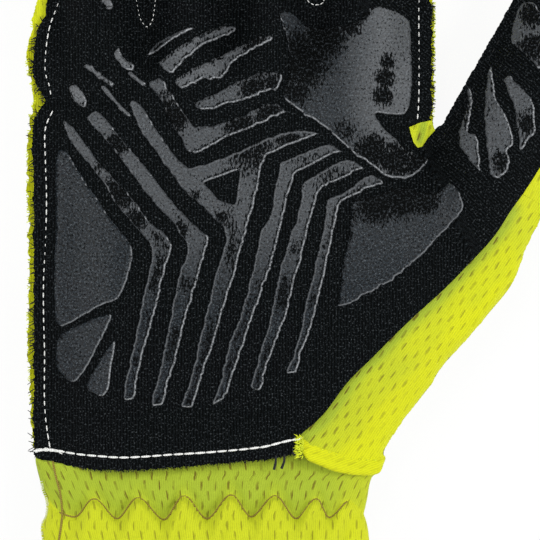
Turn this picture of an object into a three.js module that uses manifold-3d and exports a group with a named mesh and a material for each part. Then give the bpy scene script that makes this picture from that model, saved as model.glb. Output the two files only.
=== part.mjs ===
// Right-hand glove lying on its back, palm up: +Y to the finger tips, +X to the thumb, +Z out of the palm.
// Lengths are millimetres. The origin is on the flat of the back panel.
import * as THREE from 'three';
import { mergeVertices } from 'three/addons/utils/BufferGeometryUtils.js';
import Module from 'manifold-3d';

const wasm = await Module();
wasm.setup();

// Cloth, seams and clearances
const cloth = 1.2;
const gap = 0.35;
const palmAllowance = 3.1;
const fingerAllowance = 2.2;
const lap = 4;
const lapRise = 4;
const gripHeight = 0.6;
const hingeGap = 0.5;
const cutOverrun = 10;

// Hand: overall cut of the palm and the height of the seam line
const palmWidth = 105;
const palmLength = 114.2;
const seamHeight = 12;
const heelRise = 14;
const knuckleRise = 9;
const hemRise = 9.5;
const palmRun = 26;
const edgeRun = 13;
const backRun = 20;
const hollowDepth = 2.5;
const hollowRadius = 26;
const fingerCrown = 8;
const thumbCrown = 9;
const thenarRise = 13;
const thenarLength = 62;
const thenarFlare = 8;
const ridgeBlend = 5;
const thumbBlend = 8;

// Digits: lengths from the base crease to the middle crease, and from there to the tip
const littleBaseLength = 20;
const littleTipLength = 32;
const ringBaseLength = 26;
const ringTipLength = 40;
const middleBaseLength = 28;
const middleTipLength = 43;
const indexBaseLength = 25;
const indexTipLength = 38;
const thumbBaseLength = 24;
const thumbTipLength = 36;
const thumbSideStrip = 5.6;

// Cuff
const cuffLength = 46;
const cuffTuck = 3.5;
const hemSag = 4.4;
const elasticDrop = 14;
const elasticWidth = 9;
const elasticThickness = 0.8;
const elasticDraw = 2;
const elasticInset = 10;
const cuffPuff = 1.6;
const gatherPitch = 12;
const gatherHeight = 1.1;
const cuffInset = 4.4;

// Colours of the mesh back, the knit palm, the silicone print and the elastic
const meshYellow = '#d3e021';
const knitBlack = '#14191e';
const siliconeGrey = '#45494c';
const elasticWhite = '#d8d9d2';

// Shares across are of the palm's width from its outer edge, shares along of its length from the hem
const originAcrossShare = 0.505;
const originAlongShare = 0.368;
const palmLeft = -palmWidth * originAcrossShare;
const hemY = -palmLength * originAlongShare;
const across = (share) => palmLeft + share * palmWidth;
const along = (share) => hemY + share * palmLength;
const place = ([u, v]) => [across(u), along(v)];

const stitchShare = 0.042;
const palmEdgeShare = 0.0125;
const indexSideShare = 0.978;
const digitStartShare = 0.87;
const digitFullShare = 0.985;
const heelFullShare = 0.2;
const knuckleStartShare = 0.35;
const knuckleFullShare = 0.95;
const hollowShares = [0.72, 0.5];
const sideCornerShare = 0.82;
const rootCornerShare = 0.9;
// Base crease and widths of each digit between its stitch lines
const digitShares = {
  little: { crease: [0.169, 1.07], width: 0.1905, tipWidth: 0.143 },
  ring: { crease: [0.402, 1.156], width: 0.162, tipWidth: 0.149 },
  middle: { crease: [0.614, 1.156], width: 0.162, tipWidth: 0.151 },
  index: { crease: [0.858, 1.121], width: 0.2248, tipWidth: 0.162 },
  thumb: { crease: [1.1745, 0.684], width: 0.2933, tipWidth: 0.238 },
};
const digitLeanDegrees = { little: -3, ring: -1.5, middle: 1, index: 2, thumb: 27 };
const tipRoundShare = 0.55;
const crownRoundShare = 1.3;
const tipInnerShare = 0.5;
const tipEndShare = 0.978;
const thumbBlendShare = 0.8;
const hemShares = [
  [0.0125, 0.005], [0.072, -0.009], [0.172, -0.022], [0.3, -0.021], [0.448, -0.009], [0.605, 0.003],
  [0.682, 0.016],
];
const diagonalShares = [[0.677, 0.053], [0.797, 0.179], [0.927, 0.299], [1.035, 0.389], [1.165, 0.515]];
const silhouetteShares = [
  [0.892, 0.007], [0.958, 0.113], [1.035, 0.211], [1.1, 0.278], [1.155, 0.338], [1.228, 0.437],
  [1.272, 0.547],
];
const backHemShares = [[0, 0.005], [0.3, -0.02]];
const panelHemShares = [[0.7, 0], [0.757, -0.023], [0.835, -0.036], [0.873, -0.034], [0.886, -0.005]];
const palmSideShares = [
  [0.892, 0.007], [0.958, 0.113], [1.035, 0.211], [1.1, 0.278], [1.13, 0.42], [1.04, 0.66], [0.978, 0.78],
];
const crotchShares = [[0.2925, 1.008], [0.51, 1.1], [0.718, 1.058]];
const gussetShares = [
  [1.01, 0.772], [0.984, 0.777], [0.955, 0.766], [0.956, 0.74], [0.975, 0.718], [0.988, 0.722], [1, 0.742],
];
const thumbCrotchShare = [1.012, 0.762];

// Grip prints, heel to finger base
const heelPatchShares = [
  [0.08, 0.713], [0.125, 0.667], [0.21, 0.552], [0.264, 0.483], [0.259, 0.441], [0.225, 0.369],
  [0.188, 0.356], [0.085, 0.306], [0.072, 0.313], [0.065, 0.437], [0.072, 0.701],
];
const lowerPatchShares = [
  [0.21, 0.336], [0.102, 0.299], [0.07, 0.262], [0.072, 0.211], [0.11, 0.179], [0.145, 0.207],
  [0.198, 0.299],
];
const smallPatchShares = [
  [0.22, 0.276], [0.175, 0.218], [0.15, 0.163], [0.188, 0.147], [0.201, 0.16], [0.219, 0.255],
];
const firstBarShares = [
  [0.087, 0.779], [0.145, 0.69], [0.23, 0.579], [0.305, 0.499], [0.312, 0.478], [0.287, 0.37],
  [0.262, 0.246], [0.241, 0.14], [0.264, 0.14], [0.292, 0.251], [0.326, 0.366], [0.356, 0.471],
  [0.36, 0.495], [0.343, 0.52], [0.265, 0.598], [0.188, 0.674], [0.106, 0.77],
];
const secondBarShares = [
  [0.147, 0.789], [0.231, 0.694], [0.318, 0.591], [0.386, 0.515], [0.399, 0.492], [0.383, 0.437],
  [0.352, 0.306], [0.322, 0.179], [0.312, 0.129], [0.337, 0.129], [0.369, 0.228], [0.407, 0.359],
  [0.443, 0.476], [0.453, 0.511], [0.438, 0.523], [0.36, 0.594], [0.275, 0.693], [0.171, 0.8],
];
const thirdBarShares = [
  [0.258, 0.823], [0.285, 0.754], [0.338, 0.687], [0.4, 0.609], [0.468, 0.554], [0.49, 0.531],
  [0.494, 0.503], [0.472, 0.437], [0.438, 0.306], [0.407, 0.191], [0.386, 0.124], [0.412, 0.124],
  [0.443, 0.207], [0.48, 0.322], [0.52, 0.437], [0.555, 0.557], [0.58, 0.653], [0.595, 0.697],
  [0.657, 0.724], [0.723, 0.75], [0.655, 0.754], [0.542, 0.715], [0.422, 0.674], [0.405, 0.671],
  [0.385, 0.68], [0.338, 0.738], [0.285, 0.811], [0.27, 0.825],
];
const thirdBarWindowShares = [[0.445, 0.637], [0.527, 0.662], [0.517, 0.591], [0.48, 0.595]];
const fourthBarShares = [
  [0.748, 0.723], [0.662, 0.694], [0.63, 0.682], [0.623, 0.644], [0.604, 0.556], [0.577, 0.5],
  [0.545, 0.377], [0.502, 0.267], [0.464, 0.13], [0.497, 0.152], [0.537, 0.259], [0.585, 0.386],
  [0.618, 0.483], [0.635, 0.547], [0.659, 0.632], [0.69, 0.669], [0.785, 0.708],
];
const fifthBarShares = [
  [0.799, 0.69], [0.71, 0.648], [0.688, 0.634], [0.672, 0.552], [0.645, 0.483], [0.605, 0.33],
  [0.572, 0.216], [0.554, 0.156], [0.58, 0.163], [0.609, 0.246], [0.644, 0.33], [0.674, 0.437],
  [0.704, 0.545], [0.723, 0.609], [0.752, 0.634], [0.837, 0.669],
];
const sixthBarShares = [
  [0.858, 0.655], [0.78, 0.609], [0.75, 0.598], [0.743, 0.545], [0.704, 0.398], [0.665, 0.246],
  [0.646, 0.201], [0.669, 0.202], [0.7, 0.287], [0.743, 0.437], [0.769, 0.545], [0.787, 0.595],
  [0.887, 0.637],
];
const chevronShares = [
  [0.305, 0.865], [0.35, 0.791], [0.41, 0.706], [0.482, 0.733], [0.604, 0.782], [0.647, 0.798],
  [0.616, 0.818], [0.528, 0.787], [0.438, 0.766], [0.413, 0.768], [0.374, 0.818], [0.329, 0.876],
];
const upperBarShares = [[0.33, 0.915], [0.482, 0.998], [0.52, 0.995], [0.438, 0.949], [0.359, 0.887]];
const middleBarShares = [
  [0.367, 0.874], [0.537, 0.954], [0.604, 0.974], [0.61, 0.968], [0.512, 0.913], [0.463, 0.874],
  [0.385, 0.851],
];
const lowerBarShares = [
  [0.416, 0.812], [0.574, 0.885], [0.62, 0.885], [0.62, 0.846], [0.543, 0.828], [0.427, 0.805],
];
const topStubShares = [[0.297, 0.929], [0.323, 0.961], [0.405, 0.993], [0.415, 0.992], [0.35, 0.957]];
const secondStubShares = [[0.102, 0.855], [0.115, 0.864], [0.145, 0.832], [0.139, 0.808]];
const thirdStubShares = [[0.147, 0.906], [0.163, 0.91], [0.258, 0.837], [0.24, 0.828]];
const indexPatchShares = [
  [0.64, 1.02], [0.688, 1.007], [0.777, 0.998], [0.845, 1.018], [0.905, 1.034], [0.955, 1.009], [0.96, 0.86],
  [0.95, 0.789], [0.873, 0.795], [0.915, 0.738], [0.98, 0.694], [1, 0.674], [0.963, 0.653], [0.897, 0.646],
  [0.812, 0.706], [0.69, 0.795], [0.64, 0.846], [0.655, 0.92], [0.647, 0.966],
];
const thenarPatchShares = [
  [0.812, 0.591], [0.905, 0.621], [0.995, 0.614], [1.03, 0.618], [1.055, 0.637], [1.087, 0.586],
  [1.035, 0.523], [0.94, 0.437], [0.838, 0.377], [0.772, 0.354], [0.784, 0.437], [0.8, 0.508],
  [0.807, 0.556],
];
const thumbPadShares = [
  [
    [1.105, 0.857], [1.083, 0.77], [1.079, 0.733], [1.11, 0.682], [1.129, 0.664], [1.126, 0.71],
    [1.12, 0.782],
  ],
  [
    [1.157, 0.906], [1.173, 0.825], [1.207, 0.756], [1.202, 0.677], [1.175, 0.651], [1.15, 0.699],
    [1.143, 0.816],
  ],
  [[1.209, 0.837], [1.225, 0.752], [1.235, 0.713], [1.27, 0.761], [1.265, 0.805], [1.278, 0.839]],
  [[1.229, 1.041], [1.21, 0.963], [1.218, 0.934], [1.276, 0.897], [1.255, 0.959]],
];

// Grid of the hand's cloth layers: columns follow the seams, the middles of the fingers and the silhouette
const columnShares = [
  -0.02, stitchShare, 0.1, 0.17, 0.235, 0.27, 0.31, 0.355, 0.4, 0.445, 0.48, 0.53, 0.575, 0.62, 0.66, 0.695,
  0.742, 0.8, 0.86, 0.92, indexSideShare, 1.035, 1.09, 1.145, 1.2, 1.25,
];
const warpStartShare = 0.31;
const handSteps = 18;
const firstRowShare = -0.06;
const lastRowShare = 1.19;

const radians = THREE.MathUtils.degToRad;
const limit = (value) => THREE.MathUtils.clamp(value, 0, 1);
const ease = (value) => THREE.MathUtils.smoothstep(value, 0, 1);
const mix = THREE.MathUtils.lerp;
const dome = (distance, run) => 1 - (1 - limit(distance / run)) ** 2;

// Rounded maximum of two heights, softened over the given length
function softMax(a, b, softness) {
  const overlap = Math.max(softness - Math.abs(a - b), 0) / softness;
  return Math.max(a, b) + overlap ** 2 * softness / 4;
}

// A digit has its own frame: origin at the base crease, r across and s along, leaning towards the thumb
function digit(name, baseLength, tipLength, crown, openSide) {
  const shares = digitShares[name];
  const [x, y] = place(shares.crease);
  const angle = radians(digitLeanDegrees[name]);
  const length = baseLength + tipLength;
  const local = (px, py) => [
    (px - x) * Math.cos(angle) - (py - y) * Math.sin(angle),
    (px - x) * Math.sin(angle) + (py - y) * Math.cos(angle),
  ];
  const world = (r, s) => [
    x + r * Math.cos(angle) + s * Math.sin(angle),
    y - r * Math.sin(angle) + s * Math.cos(angle),
  ];
  const tipRound = palmWidth * shares.tipWidth * tipRoundShare;
  const tipAllowance = openSide ? 0 : fingerAllowance;
  // Falls from 1 to 0 over the reach as a quarter ellipse
  const roundOff = (past, reach) => Math.sqrt(1 - limit(past / reach) ** 2);
  const taper = (s) => palmWidth * mix(shares.width, shares.tipWidth, limit(s / length)) / 2;
  const half = (s) => taper(s) * roundOff(s - length + tipRound, tipRound);
  const edgeRound = tipRound + tipAllowance;
  const edge = (s) => (taper(s) + fingerAllowance) * roundOff(s - length + tipRound, edgeRound);
  const rise = (s) => crown * roundOff(s - length + tipRound * crownRoundShare, tipRound * crownRoundShare);
  // Height of the layer above or below the seam line: a crown between the stitch lines
  const swell = (r, s) => (half(s) > 0 ? rise(s) * Math.max(1 - (r / half(s)) ** 2, 0) : 0);
  const end = length - tipRound + edgeRound * tipEndShare;
  return { name, x, y, angle, length, baseLength, end, local, world, half, edge, swell, openSide };
}

const little = digit('little', littleBaseLength, littleTipLength, fingerCrown, false);
const ring = digit('ring', ringBaseLength, ringTipLength, fingerCrown, false);
const middle = digit('middle', middleBaseLength, middleTipLength, fingerCrown, false);
const index = digit('index', indexBaseLength, indexTipLength, fingerCrown, false);
const thumb = digit('thumb', thumbBaseLength, thumbTipLength, thumbCrown, true);
const fingers = [little, ring, middle, index];

// Distance across of an outline of points at a distance along, level past its ends
function acrossAt(points, y) {
  const next = points.findIndex(([, py]) => py > y);
  if (next === 0) return points[0][0];
  if (next < 0) return points.at(-1)[0];
  const [[lowX, lowY], [highX, highY]] = [points[next - 1], points[next]];
  return mix(lowX, highX, (y - lowY) / (highY - lowY));
}

// Silhouette on the thumb side, and the line where the palm's own dome ends before the ball of the thumb
const thumbOuterEnd = thumb.world(thumb.half(0), -hingeGap / 2);
const thumbOuterFar = thumb.world(thumb.half(0), thumbBaseLength);
const silhouette = [...silhouetteShares.map(place), thumbOuterEnd, thumbOuterFar];
const palmSide = palmSideShares.map(place);

// Rise of the palm above its edge between the side seam and the thumb side
function palmRise(y) {
  const heel = ease((y - hemY) / (along(heelFullShare) - hemY));
  const knuckleStart = along(knuckleStartShare);
  const knuckle = ease((y - knuckleStart) / (along(knuckleFullShare) - knuckleStart));
  return mix(mix(hemRise, heelRise, heel), knuckleRise, knuckle);
}

function frontSwell(x, y) {
  const left = x - across(stitchShare);
  const right = acrossAt(palmSide, y) - x;
  const [hollowX, hollowY] = place(hollowShares);
  const hollow = Math.exp(-((x - hollowX) ** 2 + (y - hollowY) ** 2) / hollowRadius ** 2);
  const rise = palmRise(y) * dome(left, palmRun) * dome(right, palmRun);
  const base = rise - hollowDepth * hollow * limit(rise / knuckleRise);
  const hand = softMax(base, thenarSwell(x, y, thenarRise), ridgeBlend);
  return blendDigits(x, y, Math.min(hand, heelRise * dome(acrossAt(silhouette, y) - x, edgeRun)));
}

function backSwell(x, y) {
  const left = x - across(stitchShare);
  const right = acrossAt(palmSide, y) - x;
  const full = seamHeight - cloth - gap / 2;
  const base = full * dome(Math.min(left, right), backRun);
  const hand = Math.min(softMax(base, thenarSwell(x, y, full), ridgeBlend), full);
  return blendDigits(x, y, Math.min(hand, full * dome(acrossAt(silhouette, y) - x, edgeRun)));
}

// Ball of the thumb: a ridge that runs from the thumb's base crease towards the wrist
function thenarSwell(x, y, rise) {
  const [r, s] = thumb.local(x, y);
  const flare = thumb.half(0) + thenarFlare * limit(-s / thenarLength);
  return rise * Math.max(1 - (r / flare) ** 2, 0) * ease(1 + s / thenarLength);
}

// Near the base creases the hand takes the section of each digit
function blendDigits(x, y, palm) {
  const away = (one) => Math.abs(one.local(x, y)[0]);
  const finger = fingers.reduce((best, one) => (away(one) < away(best) ? one : best));
  const [r, s] = finger.local(x, y);
  const start = along(digitStartShare);
  const share = ease((y - start) / (along(digitFullShare) - start));
  const hand = mix(palm, finger.swell(r, Math.min(s, 0)), share);
  const [tr, ts] = thumb.local(x, y);
  const beyond = ease((tr + thumb.half(0) + thumbBlend) / thumbBlend);
  const near = ease(1 + ts / (thumbBaseLength * thumbBlendShare)) * beyond;
  return mix(hand, thumb.swell(tr, Math.min(ts, 0)), near);
}

const frontTop = (x, y) => seamHeight + gap / 2 + cloth + frontSwell(x, y);
const backTop = (x, y) => seamHeight - gap / 2 - backSwell(x, y);

// Closed sheet over a grid of points, outer(i, j) above inner(i, j), with i to the right and j forwards
function sheet(columns, rows, outer, inner) {
  const positions = [];
  for (const side of [outer, inner]) {
    for (let j = 0; j < rows; j += 1) {
      for (let i = 0; i < columns; i += 1) positions.push(...side(i, j));
    }
  }
  const faces = [];
  const under = columns * rows;
  const at = (i, j) => j * columns + i;
  const quad = (a, b, c, d) => faces.push(a, b, c, a, c, d);
  for (let j = 0; j < rows - 1; j += 1) {
    for (let i = 0; i < columns - 1; i += 1) {
      quad(at(i, j), at(i + 1, j), at(i + 1, j + 1), at(i, j + 1));
      quad(under + at(i, j), under + at(i, j + 1), under + at(i + 1, j + 1), under + at(i + 1, j));
    }
  }
  const rim = [];
  for (let i = 0; i < columns - 1; i += 1) rim.push(at(i, 0));
  for (let j = 0; j < rows - 1; j += 1) rim.push(at(columns - 1, j));
  for (let i = columns - 1; i > 0; i -= 1) rim.push(at(i, rows - 1));
  for (let j = rows - 1; j > 0; j -= 1) rim.push(at(0, j));
  rim.forEach((a, k) => {
    const b = rim[(k + 1) % rim.length];
    quad(a, under + a, under + b, b);
  });
  const geometry = new THREE.BufferGeometry();
  geometry.setAttribute('position', new THREE.Float32BufferAttribute(positions, 3));
  geometry.setIndex(faces);
  return geometry;
}

// Sheet of even height whose upper face is level(x, y) over the given columns and rows
function layer(columnsAt, rows, level, thickness) {
  const top = (i, j) => {
    const x = columnsAt(rows[j])[i];
    return [x, rows[j], level(x, rows[j])];
  };
  const under = (i, j) => {
    const [x, y, z] = top(i, j);
    return [x, y, z - thickness];
  };
  return sheet(columnsAt(rows[0]).length, rows.length, top, under);
}

function toSolid(geometry) {
  const bare = geometry.index ? geometry.toNonIndexed() : geometry.clone();
  bare.deleteAttribute('normal');
  bare.deleteAttribute('uv');
  const merged = mergeVertices(bare);
  return new wasm.Manifold(new wasm.Mesh({
    numProp: 3,
    vertProperties: new Float32Array(merged.attributes.position.array),
    triVerts: new Uint32Array(merged.index.array),
  }));
}

function toGeometry(solid) {
  const mesh = solid.getMesh();
  const geometry = new THREE.BufferGeometry();
  geometry.setAttribute('position', new THREE.Float32BufferAttribute(mesh.vertProperties, 3));
  geometry.setIndex(new THREE.Uint32BufferAttribute(mesh.triVerts, 1));
  return geometry;
}

// Upright block over a closed outline, tall enough to cut every layer
function block(outline) {
  const shape = new THREE.Shape(outline.map(([x, y]) => new THREE.Vector2(x, y)));
  const depth = seamHeight + heelRise * 2 + cutOverrun * 2;
  const geometry = new THREE.ExtrudeGeometry(shape, { depth, bevelEnabled: false, steps: 1 });
  geometry.translate(0, 0, -cutOverrun);
  return toSolid(geometry);
}

const glove = new THREE.Group();

function piece(parent, name, geometry, colour, roughness) {
  const bare = geometry.index ? geometry.toNonIndexed() : geometry;
  bare.computeVertexNormals();
  const material = new THREE.MeshStandardMaterial({ color: colour, roughness, metalness: 0 });
  const mesh = new THREE.Mesh(bare, material);
  mesh.name = name;
  parent.add(mesh);
}

const addMesh = (parent, name, geometry) => piece(parent, name, geometry, meshYellow, 0.9);
const addKnit = (parent, name, geometry) => piece(parent, name, geometry, knitBlack, 0.85);
const addSilicone = (parent, name, geometry) => piece(parent, name, geometry, siliconeGrey, 0.3);

// Cloth layers of the hand: right of the warp's start the columns close up towards the silhouette
const warpStart = across(warpStartShare);
const silhouetteWidest = acrossAt(silhouette, thumbOuterEnd[1]);
const columnsAt = (y) => [
  ...columnShares.map(across),
  silhouetteWidest,
  silhouetteWidest + cutOverrun,
].map((x) => {
  const reach = acrossAt(silhouette, Math.min(y, thumbOuterEnd[1])) - warpStart;
  return x < warpStart ? x : warpStart + (x - warpStart) * reach / (silhouetteWidest - warpStart);
});
const rowShare = (j) => mix(firstRowShare, lastRowShare, j / (handSteps - 1));
const rows = Array.from({ length: handSteps }, (_, j) => along(rowShare(j)));
const handLayer = (level, thickness) => toSolid(layer(columnsAt, rows, level, thickness));
const frontLayer = handLayer(frontTop, cloth);
// The thumb side panel lies one cloth lower, and comes back up to the seam line at its edge
const lowered = (swell) => (cloth + gap) * limit(swell / lapRise);
const lowerFrontLayer = handLayer((x, y) => frontTop(x, y) - lowered(frontSwell(x, y)), cloth);
const overLayer = handLayer((x, y) => frontTop(x, y) + gap + cloth, cloth);
const backLayer = handLayer(backTop, cloth);
const gripLayer = handLayer((x, y) => frontTop(x, y) + gap + gripHeight, gripHeight);

// Ends of a digit's stub, cut square to the digit at its base crease
const stubEnd = (one, spread) => [
  one.world(-one.half(0) - spread, -hingeGap / 2),
  one.world(one.half(0) + (one.openSide ? 0 : spread), -hingeGap / 2),
];
// Slot between two fingers, down to the crotch
const crotches = crotchShares.map(place);
function fingerEnds(spread) {
  return fingers.flatMap((one, i) => [...stubEnd(one, spread), ...crotches.slice(i, i + 1)]);
}

const thumbFrontEnd = thumb.world(thumb.half(0) - thumbSideStrip, -hingeGap / 2);
const thumbLapEnd = thumb.world(thumb.half(0) - thumbSideStrip - lap, -hingeGap / 2);
const indexSideX = across(indexSideShare) + palmAllowance;

const palmOutline = [
  ...hemShares.map(place),
  ...diagonalShares.map(place),
  thumbFrontEnd,
  stubEnd(thumb, fingerAllowance)[0],
  place(thumbCrotchShare),
  [indexSideX, along(sideCornerShare)],
  ...fingerEnds(fingerAllowance).reverse(),
  [across(palmEdgeShare), along(rootCornerShare)],
];
addKnit(glove, 'palm_panel', toGeometry(frontLayer.intersect(block(palmOutline))));

const backOutline = [
  ...backHemShares.map(place),
  ...silhouetteShares.map(place),
  thumbOuterEnd,
  stubEnd(thumb, fingerAllowance)[0],
  place(thumbCrotchShare),
  [indexSideX, along(sideCornerShare)],
  ...fingerEnds(fingerAllowance).reverse(),
  place([0, rootCornerShare]),
];
addMesh(glove, 'back_panel', toGeometry(backLayer.intersect(block(backOutline))));

// Thumb side panel laps under the palm's diagonal edge and ends in a hem below it
const lapShift = lap * Math.SQRT1_2;
const lappedDiagonal = diagonalShares.map(place).map(([x, y]) => [x - lapShift, y + lapShift]);
const sidePanelOutline = [
  ...panelHemShares.map(place),
  ...silhouetteShares.map(place),
  thumbOuterEnd,
  thumbLapEnd,
  ...lappedDiagonal.reverse(),
];
addMesh(glove, 'thumb_side_panel', toGeometry(lowerFrontLayer.intersect(block(sidePanelOutline))));

// Small gusset that wraps over the thumb crotch
addMesh(glove, 'crotch_gusset', toGeometry(overLayer.intersect(block(gussetShares.map(place)))));

// Grip prints lie on the palm's own surface
function print(name, shares) {
  addSilicone(glove, name, toGeometry(gripLayer.intersect(block(shares.map(place)))));
}
print('heel_grip_patch', heelPatchShares);
print('heel_grip_lower_patch', lowerPatchShares);
print('heel_grip_small_patch', smallPatchShares);
print('palm_grip_bar_1', firstBarShares);
print('palm_grip_bar_2', secondBarShares);
const barWindow = block(thirdBarWindowShares.map(place));
const thirdBar = gripLayer.intersect(block(thirdBarShares.map(place))).subtract(barWindow);
addSilicone(glove, 'palm_grip_bar_3', toGeometry(thirdBar));
print('palm_grip_bar_4', fourthBarShares);
print('palm_grip_bar_5', fifthBarShares);
print('palm_grip_bar_6', sixthBarShares);
print('palm_grip_chevron', chevronShares);
print('knuckle_grip_bar_upper', upperBarShares);
print('knuckle_grip_bar_middle', middleBarShares);
print('knuckle_grip_bar_lower', lowerBarShares);
print('knuckle_grip_stub_1', topStubShares);
print('knuckle_grip_stub_2', secondStubShares);
print('knuckle_grip_stub_3', thirdStubShares);
print('index_base_grip', indexPatchShares);
print('thenar_grip', thenarPatchShares);

// Segments of a digit between two creases
const baseSteps = 4;
const tipSteps = 9;
const padSteps = 5;
const thumbPadSteps = 11;
const acrossShares = [-1, -0.62, -0.22, 0.22, 0.62, 1];
const padShares = [-0.62, -0.22, 0.22, 0.62];
const stripShares = [0, 0.35, 0.7, 1];
const padStartShare = 0.3;
const padEndShare = 0.9;
const frontThumbShare = 1 - thumbSideStrip / thumb.half(0);

// Columns from the raw edge over the crown to the other raw edge, or to the open side of the thumb
function segmentColumns(one, rightShare) {
  return (s) => {
    const inner = Math.max(one.half(s), one.edge(s) * tipInnerShare);
    const crown = acrossShares.map((share) => mix(-1, rightShare, (share + 1) / 2) * inner);
    return one.openSide ? [-one.edge(s), ...crown] : [-one.edge(s), ...crown, one.edge(s)];
  };
}

function segment(one, group, label, start, end) {
  const count = label === 'tip' ? tipSteps : baseSteps;
  const spread = (share) => (label === 'tip' ? Math.sin(Math.PI / 2 * share) : share);
  const steps = Array.from({ length: count + 1 }, (_, j) => mix(start, end, spread(j / count)));
  const top = (r, s) => seamHeight + gap / 2 + cloth + one.swell(r, s);
  const floor = (r, s) => seamHeight - gap / 2 - one.swell(r, s);
  const frontShare = one.openSide ? frontThumbShare : 1;
  addKnit(group, `${one.name}_${label}_front`, layer(segmentColumns(one, frontShare), steps, top, cloth));
  addMesh(group, `${one.name}_${label}_back`, layer(segmentColumns(one, 1), steps, floor, cloth));
  if (one.openSide) {
    const inner = (s) => frontShare * one.half(s) + gap;
    const outerColumns = (s) => stripShares.map((share) => mix(inner(s), one.half(s), share));
    addMesh(group, `${one.name}_${label}_outer`, layer(outerColumns, steps, top, cloth));
  }
  return top;
}

// Grip pad across a segment of a finger
function fingerPad(one, group, label, top, start, end) {
  const steps = Array.from({ length: padSteps + 1 }, (_, j) => mix(start, end, j / padSteps));
  const wide = (s) => padShares.map((share) => share * one.half(s));
  const level = (r, s) => top(r, s) + gap + gripHeight;
  addSilicone(group, `${one.name}_${label}_grip`, layer(wide, steps, level, gripHeight));
}

// Thumb pads are cut from a layer of the thumb's own, in its frame
function thumbPads(group, top) {
  const end = thumb.length * padEndShare;
  const steps = Array.from({ length: thumbPadSteps + 1 }, (_, j) => mix(hingeGap, end, j / thumbPadSteps));
  const wide = (s) => acrossShares.map((share) => share * thumb.half(s));
  const padLayer = toSolid(layer(wide, steps, (r, s) => top(r, s) + gap * 2 + gripHeight, gripHeight));
  thumbPadShares.forEach((shares, k) => {
    const pad = padLayer.intersect(block(shares.map(place).map(([x, y]) => thumb.local(x, y))));
    const part = k < thumbPadShares.length - 1 ? 'base' : 'tip';
    addSilicone(group, `thumb_${part}_grip_${k + 1}`, toGeometry(pad));
  });
}

for (const one of [...fingers, thumb]) {
  const group = new THREE.Group();
  group.position.set(one.x, one.y, 0);
  group.rotation.z = -one.angle;
  glove.add(group);
  segment(one, group, 'base', hingeGap / 2, one.baseLength - hingeGap / 2);
  const top = segment(one, group, 'tip', one.baseLength + hingeGap / 2, one.end);
  if (one === thumb) {
    thumbPads(group, top);
  } else {
    const padStart = mix(one.baseLength, one.length, padStartShare);
    fingerPad(one, group, 'tip', top, padStart, one.length * padEndShare);
  }
}

// Cuff: two halves that follow the hand's section at the hem, drawn in over the elastic
const cuffLeft = across(stitchShare) + cuffInset;
const cuffRight = across(silhouetteShares[0][0]) - cuffInset;
const cuffTop = hemY + cuffTuck;
const cuffEnd = hemY - cuffLength;
const elasticY = hemY - elasticDrop;
const cuffSteps = 9;
const gatherSteps = 4;
const elasticSteps = 14;
const cuffRunShare = 0.32;
const gathers = Math.round((cuffRight - cuffLeft) / gatherPitch);
const cuffColumns = gathers * gatherSteps + 1;

function cuffSpan(y) {
  const free = ease((hemY - hemSag - y) / cuffTuck);
  const drawn = elasticDraw * Math.exp(-(((y - elasticY) / elasticWidth) ** 2));
  return [cuffLeft - (cuffInset + cuffPuff) * free + drawn, cuffRight + cuffPuff * free - drawn];
}

// Rise of the cuff over its side edges, smooth or with its gathers
function cuffRise(share, y, rise, gathered) {
  const section = dome(share, cuffRunShare) * dome(1 - share, cuffRunShare);
  const free = ease((hemY - hemSag - y) / cuffTuck);
  const drawn = elasticDraw * Math.exp(-(((y - elasticY) / elasticWidth) ** 2));
  const gather = gathered * gatherHeight * (1 + Math.cos(share * gathers * Math.PI * 2)) / 2;
  return section * (rise + (cuffPuff + gather) * free - drawn);
}

const cuffRows = Array.from({ length: cuffSteps }, (_, j) => mix(cuffEnd, cuffTop, j / (cuffSteps - 1)));
const cuffFrontRise = hemRise - 2 * (cloth + gap) - gap;
const cuffBackRise = seamHeight - gap / 2 - cloth - cuffPuff - gatherHeight - gap;
const cuffAcross = (y) => {
  const [left, right] = cuffSpan(y);
  return Array.from({ length: cuffColumns }, (_, i) => mix(left, right, i / (cuffColumns - 1)));
};
const cuffShare = (x, y) => {
  const [left, right] = cuffSpan(y);
  return (x - left) / (right - left);
};
const cuffFrontTop = (gathered) => (x, y) => (
  seamHeight + gap / 2 + cloth + cuffRise(cuffShare(x, y), y, cuffFrontRise, gathered)
);
const cuffBackTop = (gathered) => (x, y) => (
  seamHeight - gap / 2 - cuffRise(cuffShare(x, y), y, cuffBackRise, gathered)
);
addMesh(glove, 'cuff_front', layer(cuffAcross, cuffRows, cuffFrontTop(1), cloth));
addMesh(glove, 'cuff_back', layer(cuffAcross, cuffRows, cuffBackTop(1), cloth));

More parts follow.
